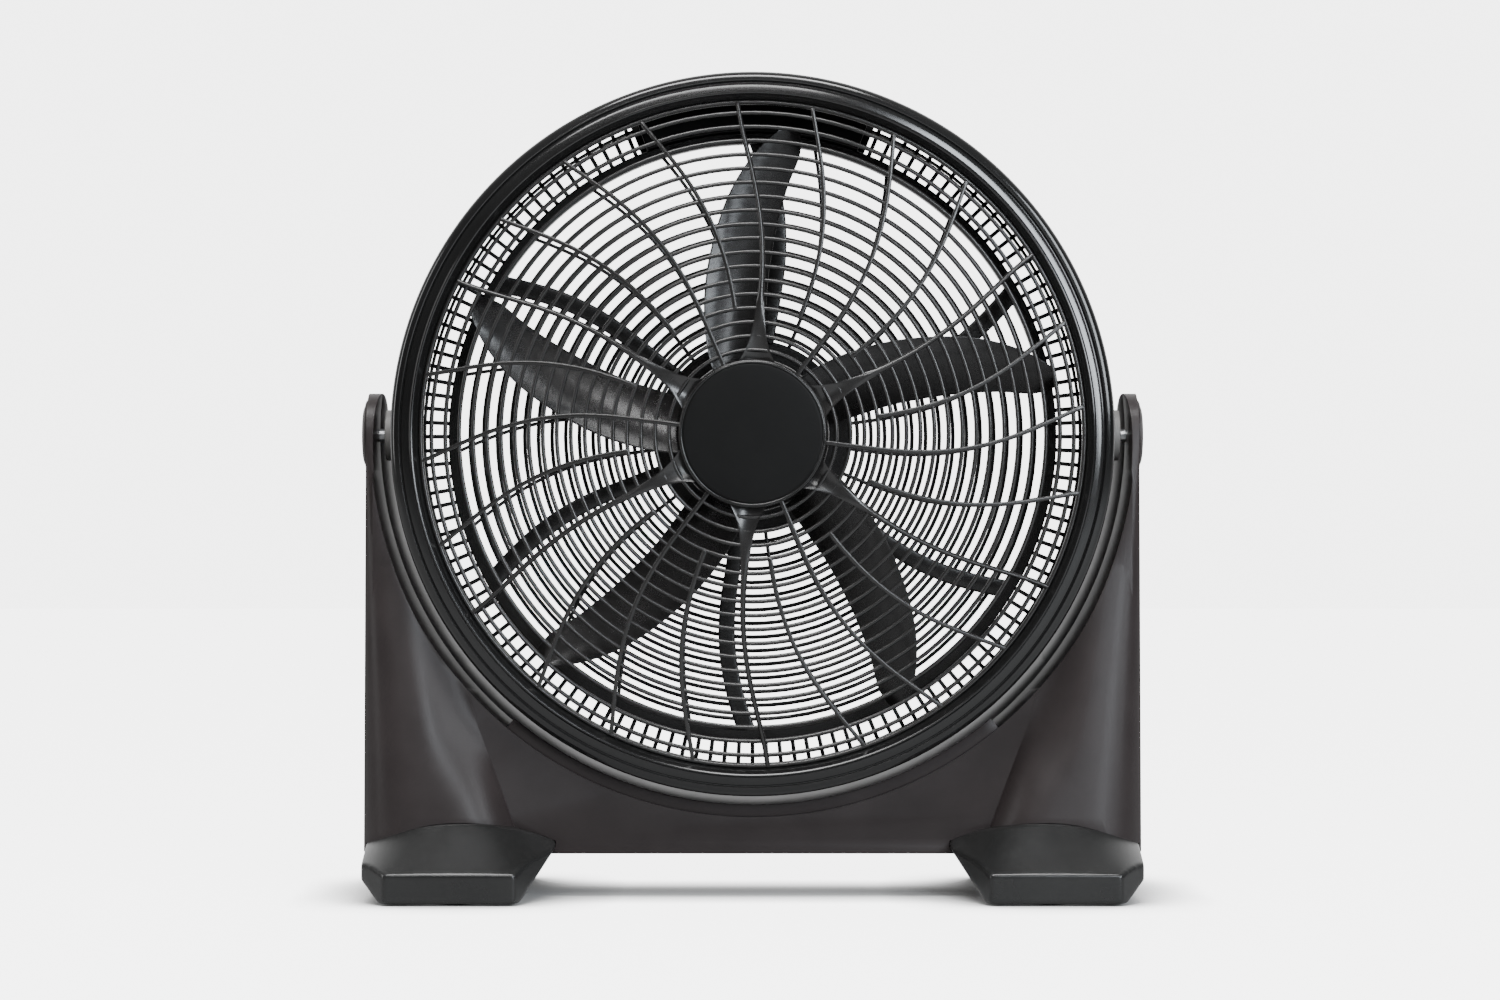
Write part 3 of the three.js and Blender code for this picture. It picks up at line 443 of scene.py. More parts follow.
def wound_copper():
    """Enamelled wire: fine turns that run round the motor, with a warm lacquered colour."""
    finish = Finish(bpy.data.materials.new("copper"))
    turns = finish.node("ShaderNodeTexWave", {"wave_type": "RINGS", "rings_direction": "Y"},
                        {"Vector": finish.place, "Scale": 220.0, "Distortion": 3.0, "Detail": 2.0})
    finish.feed(
        base_color=finish.blend(turns, (0.28, 0.09, 0.035, 1), (0.62, 0.27, 0.12, 1)),
        roughness=0.3 + finish.noise(3 * MM) * 0.2,
        normal=finish.bump(turns, 0.25 * MM),
        metallic=0.85,
    )
    return finish.owner


def stacked_laminations():
    """A core of thin steel sheets: bands along the motor's axis."""
    finish = Finish(bpy.data.materials.new("laminations"))
    sheets = finish.node("ShaderNodeTexWave", {"wave_type": "BANDS", "bands_direction": "Y"},
                         {"Vector": finish.place, "Scale": 320.0, "Distortion": 0.4})
    finish.feed(
        base_color=finish.blend(sheets, (0.09, 0.09, 0.095, 1), (0.26, 0.26, 0.27, 1)),
        roughness=0.35 + finish.noise(2 * MM) * 0.25,
        normal=finish.bump(sheets, 0.1 * MM),
        metallic=0.9,
    )
    return finish.owner


FINISHES = {
    "stand_plastic": moulded("stand_plastic", grey(0.016, (1.22, 0.98, 0.98)), 0.40,
                             wave=0.02 * MM, shine=0.25),
    "foot_plastic": moulded("foot_plastic", grey(0.012, (1.0, 1.0, 0.98)), 0.24,
                            wave=0.05 * MM, dust=0.03, shine=0.45),
    "gloss_black": moulded("gloss_black", grey(0.006), 0.14, grain=0.6 * MM,
                           grain_depth=0.0004 * MM, wave=0.012 * MM, spread=0.02),
    "grille_black": moulded("grille_black", grey(0.010, (1.05, 1, 0.98)), 0.24,
                            grain=0.5 * MM, grain_depth=0.004 * MM),
    "matt_black": moulded("matt_black", grey(0.004), 0.5, grain=0.4 * MM, shine=0.1),
    "blade_black": moulded("blade_black", grey(0.010, (1.06, 1, 0.98)), 0.26, grain=0.6 * MM,
                           grain_depth=0.001 * MM, wave=0.14 * MM),
    "rubber": moulded("rubber", grey(0.018), 0.8, grain=0.7 * MM, grain_depth=0.05 * MM),
    "pale_nylon": moulded("pale_nylon", grey(0.14, (1, 0.97, 0.93)), 0.45, dust=0.5),
    "steel": scratched("steel", (0.56, 0.57, 0.58, 1), 0.32, 1.0, streak=(1, 1, 8)),
    "cast_aluminium": scratched("cast_aluminium", (0.42, 0.43, 0.44, 1), 0.5, 0.95,
                                size=1.4 * MM, depth=0.08 * MM),
    "copper": wound_copper(),
    "laminations": stacked_laminations(),
}
print(len(FINISHES), "finishes")

# %% [markdown]
# ## The rim
# The front ring is the glossiest part: a rounded outside, a shallow groove, a broad band, and a
# ridge that drops into a chamfer. All of it is one outline, turned about the drum's axis.

# %% Front rim
rim_back = rim_high[1]
RIM_WIDTH = 22 * MM
rim_outline = steps_in(rim_radius, rim_back, [(3.7, 0), (0.6, 0), (0, -0.6)])
rim_outline += steps_in(rim_radius, rim_front, [
    (0, 10), (0.5, 7), (1.9, 4.7), (4, 3.2), (6.6, 2.5), (7.4, 2.9), (7.9, 4.1), (8.5, 4.1), (9, 3.3),
    (9.8, 2.95), (11.5, 2.6), (13.2, 2.33), (14.8, 2.1), (15.3, 1.5), (16, 0.3), (16.8, 0), (17.6, 0.3),
    (19.5, 3), (21.4, 5.6), (22, 6.6), (22, 10), (3.7, 10)])
rim = smoothed(turned("front_rim", closed(rim_outline), facets=240), 30)
placed(rim, "head", "gloss_black", "rim_bezel")
print("rim", round(2 * rim_radius / MM), "mm across")

# %% [markdown]
# ## The front guard
# Rings are tori of one thin bar. Broad spokes swirl from the rim, straighten, and flare into a
# star round the hub cap, with three thin spokes between each pair. One sector is modelled and
# turned round the axis, and the shells are left loose in one mesh, as they are one moulding.

# %% Guard sizes
grille_low, grille_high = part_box("front_grille")
cap_low, cap_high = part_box("hub_cap")
cap_radius = (cap_high[0] - cap_low[0]) / 2
opening = rim_radius - RIM_WIDTH
star_radius = cap_radius + 1 * MM
ring_count = 18
outer_ring = opening - 10 * MM
inner_ring = star_radius + 7.5 * MM
ring_pitch = (outer_ring - inner_ring) / (ring_count - 1)
dome_edge = rim_front + 5 * MM
dome_rise = dome_edge - grille_low[1]
bar_radius = 1.65 * MM
SPOKE_START = -2.6  # degrees at the rim
SPOKE_LEADS = (12.9, 27.8, 42.8)  # the thin spokes, in degrees past a broad one
SIXTHS = range(60, 360, 60)


def dome(radius):
    """Front of the guard at a radius: it bulges towards the middle."""
    return dome_edge - dome_rise * (1 - (radius / opening) ** 2)


def swirl(radius, total, settled, ease):
    """Degrees that a spoke has turned by, growing from the rim to where it settles."""
    inwards = min(max((opening - radius) / (opening - settled), 0), 1)
    return total * math.sin(inwards * math.pi / 2) ** ease


# %% Guard rings
guard_parts = []
for i in range(ring_count):
    radius = inner_ring + i * ring_pitch
    y = dome(radius) + 0.4 * MM + bar_radius
    guard_parts.append(ring(f"ring_{i}", radius, bar_radius, y, 120))
print(ring_count, "rings at", round(ring_pitch / MM, 2), "mm")

# %% Guard spokes
SPOKE_WIDTH, STAR_FLARE, FLARE_LENGTH = 3.9, 22, 19  # millimetres
STRAIGHT_FROM, THIN_STRAIGHT_FROM = 0.45, 0.37  # shares of the opening where the swirl has settled


def star_width(radius):
    """Width of a broad spoke: thin at the rim, flaring into the star."""
    return (SPOKE_WIDTH + STAR_FLARE * math.exp((star_radius - radius) / (FLARE_LENGTH * MM))) * MM


def broad_place(u, v, w):
    """A broad spoke is dished along its middle where it is wide."""
    radius = mix(star_radius - 3 * MM, opening - 1.5 * MM, u ** 1.5)
    width = star_width(radius)
    point = on_face(radius, SPOKE_START + swirl(radius, 6, opening * STRAIGHT_FROM, 1.6), 0)
    sideways = Vector((point.z - axis_z, 0, -point.x)).normalized()
    point += sideways * ((v - 0.5) * width)
    crown = 1 - (2 * v - 1) ** 2
    dish = 0.22 * (width - SPOKE_WIDTH * MM) - 0.25 * min(width, 5 * MM)
    rounding = 0.9 * MM * (1 - crown) * (width < 6 * MM)
    point.y = dome(radius) + w * 4.4 * MM + (1 - w) * (crown * dish + rounding)
    return point


def thin_angle(start):
    """The angle of a thin spoke at a radius, from the angle where it starts at the rim."""
    return lambda radius: start + swirl(radius, 11.8, opening * THIN_STRAIGHT_FROM, 1.2)


broad = softened(shaped("broad_spoke", 48, 8, broad_place), 0.7 * MM, 2, 50)
turned_copies(broad, SIXTHS)
near_star, at_star = inner_ring + 3 * ring_pitch - 0.5 * MM, star_radius - 2 * MM
thin = [face_bar(f"thin_spoke_{i}", inner, opening - 1.5 * MM, thin_angle(SPOKE_START + lead),
                 lambda r: 3.5 * MM, lambda r: dome(r) + 0.1 * MM, 3.9 * MM, steps=32)
        for i, (lead, inner) in enumerate(zip(SPOKE_LEADS, (near_star, at_star, near_star)))]
thin = softened(joined(thin[0], thin[1:]), 1.0 * MM, 3)
turned_copies(thin, SIXTHS)

# %% Star plate, hoop and flange
star_front = dome(0)
star = turned("star_plate", [
    (0, star_front + 4.6 * MM),
    *steps_in(star_radius, star_front, [(1, 4.6), (0, 3.6), (0, 0.8), (0.8, 0)]), (0, star_front)])
hoop_front, hoop_back = dome_edge, grille_high[1]
hoop_outer, hoop_inner = opening - 0.3 * MM, opening - 3.3 * MM
flange_radius = (grille_high[0] - grille_low[0]) / 2
hoop = turned("hoop", closed([
    (hoop_inner, hoop_back), *steps_in(hoop_inner, hoop_front, [(0, 0.8), (-0.8, 0)]),
    *steps_in(hoop_outer, hoop_front, [(0.8, 0), (0, 0.8)]), (hoop_outer, hoop_back - 3 * MM),
    (flange_radius, hoop_back - 3 * MM), (flange_radius, hoop_back)]), facets=200)
guard = joined(broad, [thin, star, hoop, *guard_parts])
guard.name = guard.data.name = "front_guard"
smoothed(guard, 50)
placed(guard, "head", "grille_black", "front_grille")
print("guard", len(guard.data.polygons), "faces")

# %% [markdown]
# ## The hub cap
# A matt disc with a slightly crowned face, and a glossy bead round its edge.

# %% Hub cap
cap_front, cap_back = cap_low[1], cap_high[1]
cap = turned("guard_cap", [
    (0, cap_back), *steps_in(cap_radius, cap_back, [(0.6, 0), (0, -0.8)]),
    *steps_in(cap_radius, cap_front, [(1.2, 2.6), (1.7, 1.7), (2.8, 1.1), (4, 1.0)]),
    (cap_radius * 0.8, cap_front + 0.55 * MM), (cap_radius * 0.5, cap_front + 0.2 * MM), (0, cap_front)])
smoothed(cap, 40)
placed(cap, "head", "matt_black", "hub_cap")
cap_edge = ring("cap_edge", cap_radius - 1.1 * MM, 1.05 * MM, cap_front + 1.7 * MM, 144, 12)
placed(smoothed(cap_edge, 60), "head", "gloss_black")
print("hub cap", round(2 * cap_radius / MM), "mm across")

# %% [markdown]
# ## The drum
# A thin wall with an inward flange in front and a rolled lip behind, plus the two pivot bosses
# that stand out at the sides.

# %% Drum shell
drum_low, drum_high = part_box("drum_shell")
shell_radius = rim_radius - 4 * MM
wall = 3.5 * MM
shell_inner = shell_radius - wall
drum_front, drum_rear = drum_low[1], drum_high[1]
shell = turned("drum", closed([
    (shell_inner - 10 * MM, drum_front), (shell_radius, drum_front),
    *steps_in(shell_radius, drum_rear, [(0, -16), (1.2, -15), (1.2, -3), (0.4, -1.8), (0.8, -0.5), (1.8, 0)]),
    (shell_inner, drum_rear), *steps_in(shell_inner, drum_front, [(0, 3), (10, 3)])]), facets=200)
bosses = [turned(f"boss_{side}", closed([
    (6 * MM, side * (shell_inner - 6 * MM)), (22 * MM, side * (shell_inner - 6 * MM)),
    (22 * MM, side * (rim_radius - 1 * MM)), (21 * MM, side * rim_radius), (6 * MM, side * rim_radius)]),
    along="X", facets=64) for side in (-1, 1)]
shell = smoothed(joined(shell, bosses), 35)
placed(shell, "head", "matt_black", "drum_shell")
print("drum", round((drum_rear - rim_front) / MM), "mm deep")

# %% [markdown]
# ## The rear guard
# Behind the blades, a duct band carries six struts to the motor plate, with rings and thin
# spokes between them, and a comb of vent bars fills the space out to the drum.

# %% Rear guard bands
rear_low, rear_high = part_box("rear_grille")
cover_low, cover_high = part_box("motor_cover")
duct_radius = shell_inner - 29 * MM
vent_radius = shell_inner - 5 * MM
plate_radius = (cover_high[0] - cover_low[0]) / 2 + 12 * MM
rear_back = rear_high[1] - 2 * MM
plate_front = rear_back - 4 * MM
rear_hoop = turned("rear_hoop", closed([
    (vent_radius, drum_rear - 14 * MM),
    *steps_in(shell_inner, drum_rear, [(0.3, -14), (0.3, -0.8), (1.1, 0)]),
    *steps_in(vent_radius, drum_rear, [(-0.8, 0), (0, -0.8)])]), facets=180)
duct = turned("duct", closed([
    *steps_in(duct_radius, rear_low[1], [(8.5, 1), (7.5, 0), (1, 0), (0, 1)]),
    *steps_in(duct_radius, rear_back, [(0, -1), (1, 0), (7.5, 0), (8.5, -1)])]), facets=180)
plate = turned("motor_plate", closed([
    (14 * MM, plate_front), *steps_in(plate_radius, plate_front, [(1, 0), (0, 1)]),
    *steps_in(plate_radius, rear_back, [(0, -1), (1, 0)]), (14 * MM, rear_back)]))
print("duct", round(duct_radius / MM, 1), "vents to", round(vent_radius / MM, 1), "mm")

# %% Rear guard struts, thin spokes and vent bars
TOP_STRUT = -0.5  # degrees at the rim
REAR_THIN_START = -2.4
VENT_START, VENT_PITCH, vent_count = 22.5, 2.5, 127


def strut_angle(radius, start):
    return start + swirl(radius, 9, opening * 0.47, 1.2)


def strut_width(radius):
    return 16 * MM * mix(0.72, 1, (radius - plate_radius) / (vent_radius - plate_radius))


def strut_bar(name, start, steps):
    """A broad strut from the motor plate to the duct band."""
    bar = face_bar(name, plate_radius - 2 * MM, duct_radius - 4 * MM, lambda r: strut_angle(r, start),
                   strut_width, lambda r: rear_back - 8 * MM, 8 * MM, steps)
    return softened(bar, 1.6 * MM, 3)


strut = strut_bar("strut", TOP_STRUT + 60, 30)
turned_copies(strut, range(60, 300, 60))
top_strut = strut_bar("top_strut", TOP_STRUT, 26)
rear_thin = [face_bar(f"rear_thin_{i}", plate_radius - 2 * MM, duct_radius - 7 * MM,
                      thin_angle(REAR_THIN_START + lead), lambda r: 3.0 * MM, lambda r: plate_front, 3.4 * MM)
             for i, lead in enumerate(SPOKE_LEADS)]
rear_thin = softened(joined(rear_thin[0], rear_thin[1:]), 0.8 * MM, 2)
turned_copies(rear_thin, SIXTHS)
vent = face_bar("vent_bar", duct_radius - 1 * MM, vent_radius + 1 * MM, lambda r: VENT_START,
                lambda r: 3.3 * MM, lambda r: plate_front, 4 * MM, 1)
vent = softened(vent, 0.7 * MM, 2)
turned_copies(vent, [VENT_PITCH * i for i in range(1, vent_count)])
print("vent bars", vent_count)

# %% Rear guard rings
rear_parts = [rear_hoop, duct, plate, top_strut, rear_thin, vent]
rear_ring_count = 14
ring_span = duct_radius - 16 * MM - plate_radius - 6.5 * MM
for i in range(rear_ring_count):
    radius = plate_radius + 6.5 * MM + i * ring_span / (rear_ring_count - 1)
    rear_parts.append(ring(f"rear_ring_{i}", radius, 1.6 * MM, plate_front + 1.9 * MM, 96))


def arc_block(name, start, stop, inner, outer, front, back, steps=40):
    """A stretch of a ring round the drum's axis."""
    return shaped(name, 1, steps, lambda u, v, w: on_face(
        mix(inner, outer, u), mix(start, stop, v), mix(front, back, w)))


vent_ring_radius = vent_radius - 3.5 * MM
vent_ring = arc_block("vent_ring", 21.3, 338.7, vent_ring_radius - 1.25 * MM,
                      vent_ring_radius + 1.25 * MM, plate_front, rear_back, 150)
rear_guard = joined(strut, [*rear_parts, softened(vent_ring, 0.7 * MM, 2)])
rear_guard.name = rear_guard.data.name = "rear_guard"
smoothed(rear_guard, 45)
placed(rear_guard, "head", "grille_black", "rear_grille")

# %% [markdown]
# ## Controls and handle
# The housing at the top of the vents is a stretch of the drum's own curve, with a cover that
# laps over it. The handle is one bar bent twice, thick enough to hold in comfort.

# %% Housing and cover
box_low, box_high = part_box("control_box")
lid_low, lid_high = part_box("control_cover")
knob_low, knob_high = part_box("speed_knob")
housing_inner, housing_outer = duct_radius + 0.3 * MM, vent_radius - 0.3 * MM
housing_half = math.degrees(math.asin(box_high[0] / housing_outer))
housing = arc_block("control_housing", -housing_half, housing_half, housing_inner, housing_outer,
                    box_low[1], box_high[1])
placed(smoothed(softened(housing, 1.5 * MM, 3)), "head", "matt_black", "control_box")
lid_outer = vent_radius + 3.7 * MM
lid_half = math.degrees(math.asin(lid_high[0] / lid_outer))
lid = softened(arc_block("control_lid", -lid_half, lid_half, duct_radius - 3.7 * MM, lid_outer,
                         lid_low[1], lid_high[1]), 0.9 * MM, 3)
knob_x = (knob_low[0] + knob_high[0]) / 2
knob_z = knob_low[2] + (knob_high[0] - knob_low[0]) / 2
placed(smoothed(lid), "head", "matt_black", "control_cover")
print("housing half angle", round(housing_half, 2), "knob at", round(knob_x, 4), round(knob_z, 4))

# %% Carry handle
grip_low, grip_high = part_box("carry_handle")
grip_bend = 14 * MM
grip_reach = grip_high[1] - 6 * MM
grip_x = grip_high[0] - 5 * MM


def grip_line(share):
    """A point on the handle's middle line and the direction it runs in."""
    legs = grip_reach - grip_bend - grip_low[1]
    arc = grip_bend * math.pi / 2
    bar = 2 * (grip_x - grip_bend)
    at = share * (2 * legs + 2 * arc + bar)
    if at < legs:
        return Vector((-grip_x, grip_low[1] + at, 0)), 90
    if at < legs + arc:
        turn = (at - legs) / grip_bend
        return Vector((grip_bend - grip_x - grip_bend * math.cos(turn),
                       grip_reach - grip_bend + grip_bend * math.sin(turn), 0)), 90 - math.degrees(turn)
    if at < legs + arc + bar:
        return Vector((grip_bend - grip_x + at - legs - arc, grip_reach, 0)), 0
    if at < legs + 2 * arc + bar:
        turn = (at - legs - arc - bar) / grip_bend
        return Vector((grip_x - grip_bend + grip_bend * math.sin(turn),
                       grip_reach - grip_bend + grip_bend * math.cos(turn), 0)), -math.degrees(turn)
    return Vector((grip_x, grip_reach - grip_bend - (at - legs - 2 * arc - bar), 0)), -90


def grip_place(u, v, w):
    middle, heading = grip_line(u)
    thick = mix(10, 12, min((middle.y - grip_low[1]) / (grip_reach - grip_low[1]), 1)) * MM
    side = Vector((-math.sin(math.radians(heading)), math.cos(math.radians(heading)), 0))
    point = middle + side * (v - 0.5) * thick
    point.z = mix(grip_low[2], grip_high[2], w)
    return point


grip = softened(shaped("carry_handle_grip", 60, 1, grip_place), 3.2 * MM, 4, 50)
placed(smoothed(grip, 50), "head", "matt_black", "carry_handle")
print("handle reach", round((grip_reach - grip_low[1]) / MM, 1), "mm")

# %% [markdown]
# ## Knob, cable gland and wire cover
# The knob is turned, then gets a grip bar across it. Small raised marks on the lid show its
# settings.

# %% Knob and marks
knob_radius = (knob_high[0] - knob_low[0]) / 2
knob_front = lid_high[1] + 0.8 * MM
knob_body = turned("knob", [
    (0, knob_low[1]), (3 * MM, knob_low[1]), (3 * MM, knob_front),
    *steps_in(knob_radius, knob_front, [(0.4, 0), (0, 0.6), (0.2, 3.6), (1.6, 5), (3, 5.6)]),
    *steps_in(knob_radius, knob_high[1], [(3.6, -3), (4.8, -2)]), (0, knob_high[1] - 1.6 * MM)],
    centre=(knob_x, 0, knob_z), facets=72)
knob_bar = softened(shaped("knob_bar", 1, 1, lambda u, v, w: Vector((
    knob_x + (u - 0.5) * 3.6 * MM, mix(knob_front + 3 * MM, knob_high[1], v),
    knob_z + mix(-(knob_radius - 2 * MM), knob_radius - 0.6 * MM, w)))), 0.7 * MM, 3)
knob = smoothed(joined(knob_body, [knob_bar]), 40)
placed(knob, "knob", "gloss_black", "speed_knob")

# %% Setting marks


def mark_place(degrees):
    """A mark lies along a radius, at its own angle round the knob."""
    turn = math.radians(degrees)

    def place(u, v, w):
        away = mix(knob_radius + 0.6 * MM, knob_radius + 1.9 * MM, w)
        aside = (u - 0.5) * 0.7 * MM
        return Vector((knob_x + away * math.sin(turn) + aside * math.cos(turn),
                       lid_high[1] + mix(-0.3 * MM, 0.4 * MM, v),
                       knob_z + away * math.cos(turn) - aside * math.sin(turn)))
    return place


marks = [shaped(f"mark_{i}", 1, 1, mark_place(step)) for i, step in enumerate((0, 45, 90, 135))]
setting_marks = joined(marks[0], marks[1:])
setting_marks.name = setting_marks.data.name = "setting_marks"
placed(setting_marks, "head", "pale_nylon")
print(len(marks), "setting marks")

# %% Cable gland
gland_low, gland_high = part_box("cord_gland")
gland_middle = ((gland_low[0] + gland_high[0]) / 2, 0, (gland_low[2] + gland_high[2]) / 2)
gland_outline = [(3.2, 70.3), (5, 70.3), (5, 77.2), (6.8, 77.2), (7, 77.6), (7, 79.4), (6.4, 80)]
for i in range(4):
    gland_outline += [(5.2 - 0.15 * i, 80.4 + 2.6 * i), (5.2 - 0.15 * i, 81.8 + 2.6 * i),
                      (4.4 - 0.15 * i, 82.0 + 2.6 * i), (4.4 - 0.15 * i, 82.8 + 2.6 * i)]
gland_outline += [(4.2, 90.8), (3.2, 90.8)]
GLAND_END = 0.091  # where the outline above ends
gland_scale = gland_high[1] / GLAND_END
gland = turned("cable_gland", closed([(r * MM, y * MM * gland_scale) for r, y in gland_outline]),
               centre=gland_middle, facets=48)
placed(smoothed(gland, 40), "head", "rubber", "cord_gland")

# %% Wire cover
wire_low, wire_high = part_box("wire_cover")
wire = face_bar("wire_duct", plate_radius - 11 * MM, duct_radius - 12 * MM,
                lambda r: strut_angle(r, TOP_STRUT), lambda r: 9.6 * MM, lambda r: wire_low[1],
                wire_high[1] - wire_low[1], 26)
placed(smoothed(softened(wire, 1.2 * MM, 3)), "head", "matt_black", "wire_cover")

# %% [markdown]
# ## The motor
# Two die-cast bells clamp the core, and a moulded cover with slots closes it at the back. The
# core and its windings are the CAD model's own solids, which get their finish later.

# %% Motor bells and rear cover
for name, node in (("front_bell", "motor_front_bell"), ("rear_bell", "motor_rear_bell")):
    low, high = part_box(node)
    bell_radius = high[0]
    closed_end, open_end = (low[1], high[1]) if name == "front_bell" else (high[1], low[1])
    way = math.copysign(1, open_end - closed_end)
    bell = turned(name, closed([
        (5.5 * MM, closed_end), (15 * MM, closed_end), (16 * MM, closed_end + way * MM),
        *steps_in(bell_radius, closed_end, [(7, 1.5), (2.5, 3), (0.6, 5.5), (0, 8)], way),
        *steps_in(bell_radius, open_end, [(0, -3), (0.8, -2.5), (0.8, 0), (7.7, 0)], way),
        (bell_radius - 7.7 * MM, closed_end + way * 10 * MM), (11.3 * MM, closed_end + way * 10 * MM),
        (11.3 * MM, closed_end + way * 3 * MM), (5.5 * MM, closed_end + way * 3 * MM)]), facets=96)
    placed(smoothed(bell), "head", "cast_aluminium", node)
cover_radius = (cover_high[0] - cover_low[0]) / 2
top, base = cover_high[1], cover_low[1]
motor_lid = turned("motor_lid", [
    (0, top), *steps_in(cover_radius, top, [(14, 0), (8, -1.2), (3, -4), (0.8, -8), (0, -12)]),
    (cover_radius, base), (cover_radius - 2.5 * MM, base),
    *steps_in(cover_radius, top, [(2.5, -13), (6, -6.5), (14, -2.5)]), (0, top - 2.5 * MM)])


def cut(piece, cutter, operation="DIFFERENCE"):
    """Cuts a piece with another, which is then removed."""
    finished(piece, "BOOLEAN", object=cutter, operation=operation, solver="EXACT")
    bpy.data.objects.remove(cutter)
    return piece


slots = []
for i in range(-3, 4):
    half = 34 * MM * math.sqrt(1 - (i / 4.2) ** 2)
    slot = shaped(f"slot_{i}", 1, 1, lambda u, v, w: Vector((
        mix(-half, half, u), mix(top - 5 * MM, top + 1 * MM, v),
        axis_z + i * 11 * MM + mix(-1.8, 1.8, w) * MM)))
    slots.append(softened(slot, 1.5 * MM, 3))
cut(motor_lid, joined(slots[0], slots[1:]))
placed(smoothed(motor_lid, 35), "head", "matt_black", "motor_cover")
print("motor cover", round(2 * cover_radius / MM), "mm across")

# %% [markdown]
# ## The propeller
# Five scythe-shaped blades grow from a cup-shaped hub. Each is a thin twisted sheet: the edge
# that leads lies further back than the one that trails, so turning it pushes air forwards.

# %% Blades
prop_low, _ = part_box("propeller")
hub_radius = 60 * MM
tip_radius = duct_radius - 1.5 * MM
hub_front = prop_low[1]
hub_back = hub_front + 40 * MM
hub_middle = (hub_front + hub_back) / 2
TRAILING = ((0, -40), (0.25, -29.5), (0.5, -20.5), (0.75, -12.5), (0.9, -7), (1, -2.5))
LEADING = ((0, 2), (0.25, -2), (0.5, -1.8), (0.75, 0), (0.9, 1.6), (1, 1))


def along_pairs(pairs, share):
    """A smooth value between pairs, through all of them."""
    spots = [(pairs[0][0] - 0.25, 2 * pairs[0][1] - pairs[1][1]), *pairs,
             (pairs[-1][0] + 0.1, 2 * pairs[-1][1] - pairs[-2][1])]
    for (x0, y0), (x1, y1), (x2, y2), (x3, y3) in zip(spots, spots[1:], spots[2:], spots[3:]):
        if share <= x2:
            t = (share - x1) / (x2 - x1)
            m1 = (y2 - y0) / (x2 - x0) * (x2 - x1)
            m2 = (y3 - y1) / (x3 - x1) * (x2 - x1)
            return ((2 * t ** 3 - 3 * t * t + 1) * y1 + (t ** 3 - 2 * t * t + t) * m1
                    + (3 * t * t - 2 * t ** 3) * y2 + (t ** 3 - t * t) * m2)
    return pairs[-1][1]


def blade_place(u, v, w):
    radius = mix(hub_radius - 2 * MM, tip_radius, u)
    degrees = 8 + mix(along_pairs(TRAILING, u), along_pairs(LEADING, u), v)
    pitch, camber = mix(17, 6, u), mix(5, 2, u)
    rise = pitch * (2 * v - 1) - camber * math.sin(math.pi * v)
    thick = 2.4 * (0.45 + 0.55 * math.sin(math.pi * min(max(v, 0.04), 0.96)) ** 0.5)
    return on_face(radius, degrees, hub_middle + (rise + (w - 0.5) * thick) * MM)


blade = softened(shaped("blade", 44, 26, blade_place), 0.45 * MM, 2, 50)
turned_copies(blade, range(72, 360, 72))
hub = turned("hub", closed([
    (4.3 * MM, hub_front), *steps_in(hub_radius, hub_front, [(7, 0), (3.5, 0.9), (0.9, 3.5), (0, 7)]),
    *steps_in(hub_radius, hub_back, [(0, -0.8), (0.8, 0), (4, 0)]),
    *steps_in(hub_radius, hub_front, [(4, 10), (12, 4)]), (14 * MM, hub_front + 4 * MM),
    (14 * MM, hub_back), (4.3 * MM, hub_back)]), facets=120)
propeller = joined(blade, [hub])
propeller.name = propeller.data.name = "blades_and_hub"
smoothed(propeller, 35)
placed(propeller, "rotor", "blade_black", "propeller")
nut_low, nut_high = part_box("blade_nut")
nut = turned("spinner_nut", closed([
    (4.2 * MM, nut_high[1]), (11.5 * MM, nut_high[1]), (12 * MM, nut_high[1] - 0.5 * MM),
    (12 * MM, nut_high[1] - 3.6 * MM), (11 * MM, nut_high[1] - 5.2 * MM), (8 * MM, nut_low[1] + 0.6 * MM),
    (6.6 * MM, nut_low[1]), (4.2 * MM, nut_low[1])]), facets=48)
placed(smoothed(nut), "rotor", "gloss_black", "blade_nut")
print("blades reach", round(tip_radius / MM), "mm")

# %% [markdown]
# ## The stand
# One moulding in two halves, joined on a plane behind the drum's middle: two pylons that narrow
# into uprights, and a bridge between them. The space that the drum turns in is cut out of it,
# so the inner walls follow the drum closely.

# %% Stand sizes and pylon
stand_low, stand_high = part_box("stand_front")
upright_outer = stand_high[0]
upright_inner = rim_radius + 9 * MM
pivot_round = 33 * MM
pylon_inner = upright_outer - 136 * MM
pylon_taper = 0.349
pylon_foot = 80 * MM  # half its depth at the floor
pylon_crown = 30 * MM  # how far its edges fall back at the floor
melt_from, melt_over = 70 * MM, 80 * MM  # where it runs into the bridge
cradle_radius = rim_radius + 20 * MM
cradle_taper = 0.083
cradle_rear_taper = 0.12
bridge_half = 46 * MM


def pylon_half(z):
    """Half a pylon's depth at a height."""
    if z > axis_z:
        return math.sqrt(max(pivot_round ** 2 - (z - axis_z) ** 2, 0)) + 0.02 * MM
    return mix(pylon_foot, pivot_round, z / axis_z)


def ease(share):
    """Runs smoothly from 0 to 1, level at both ends."""
    share = min(max(share, 0), 1)
    return share * share * (3 - 2 * share)


def pylon_depth(across, z):
    """Half depth at a share of a pylon's width: crowned, and melting into the bridge higher up."""
    half = pylon_half(z)
    crowned = half - pylon_crown * max(1 - z / axis_z, 0) * (2 * across - 1) ** 4
    if across >= 0.5:
        return crowned
    melted = mix(min(bridge_half + 0.2 * MM, half), half, ease(2 * across))
    return mix(crowned, melted, ease((z - melt_from) / melt_over))


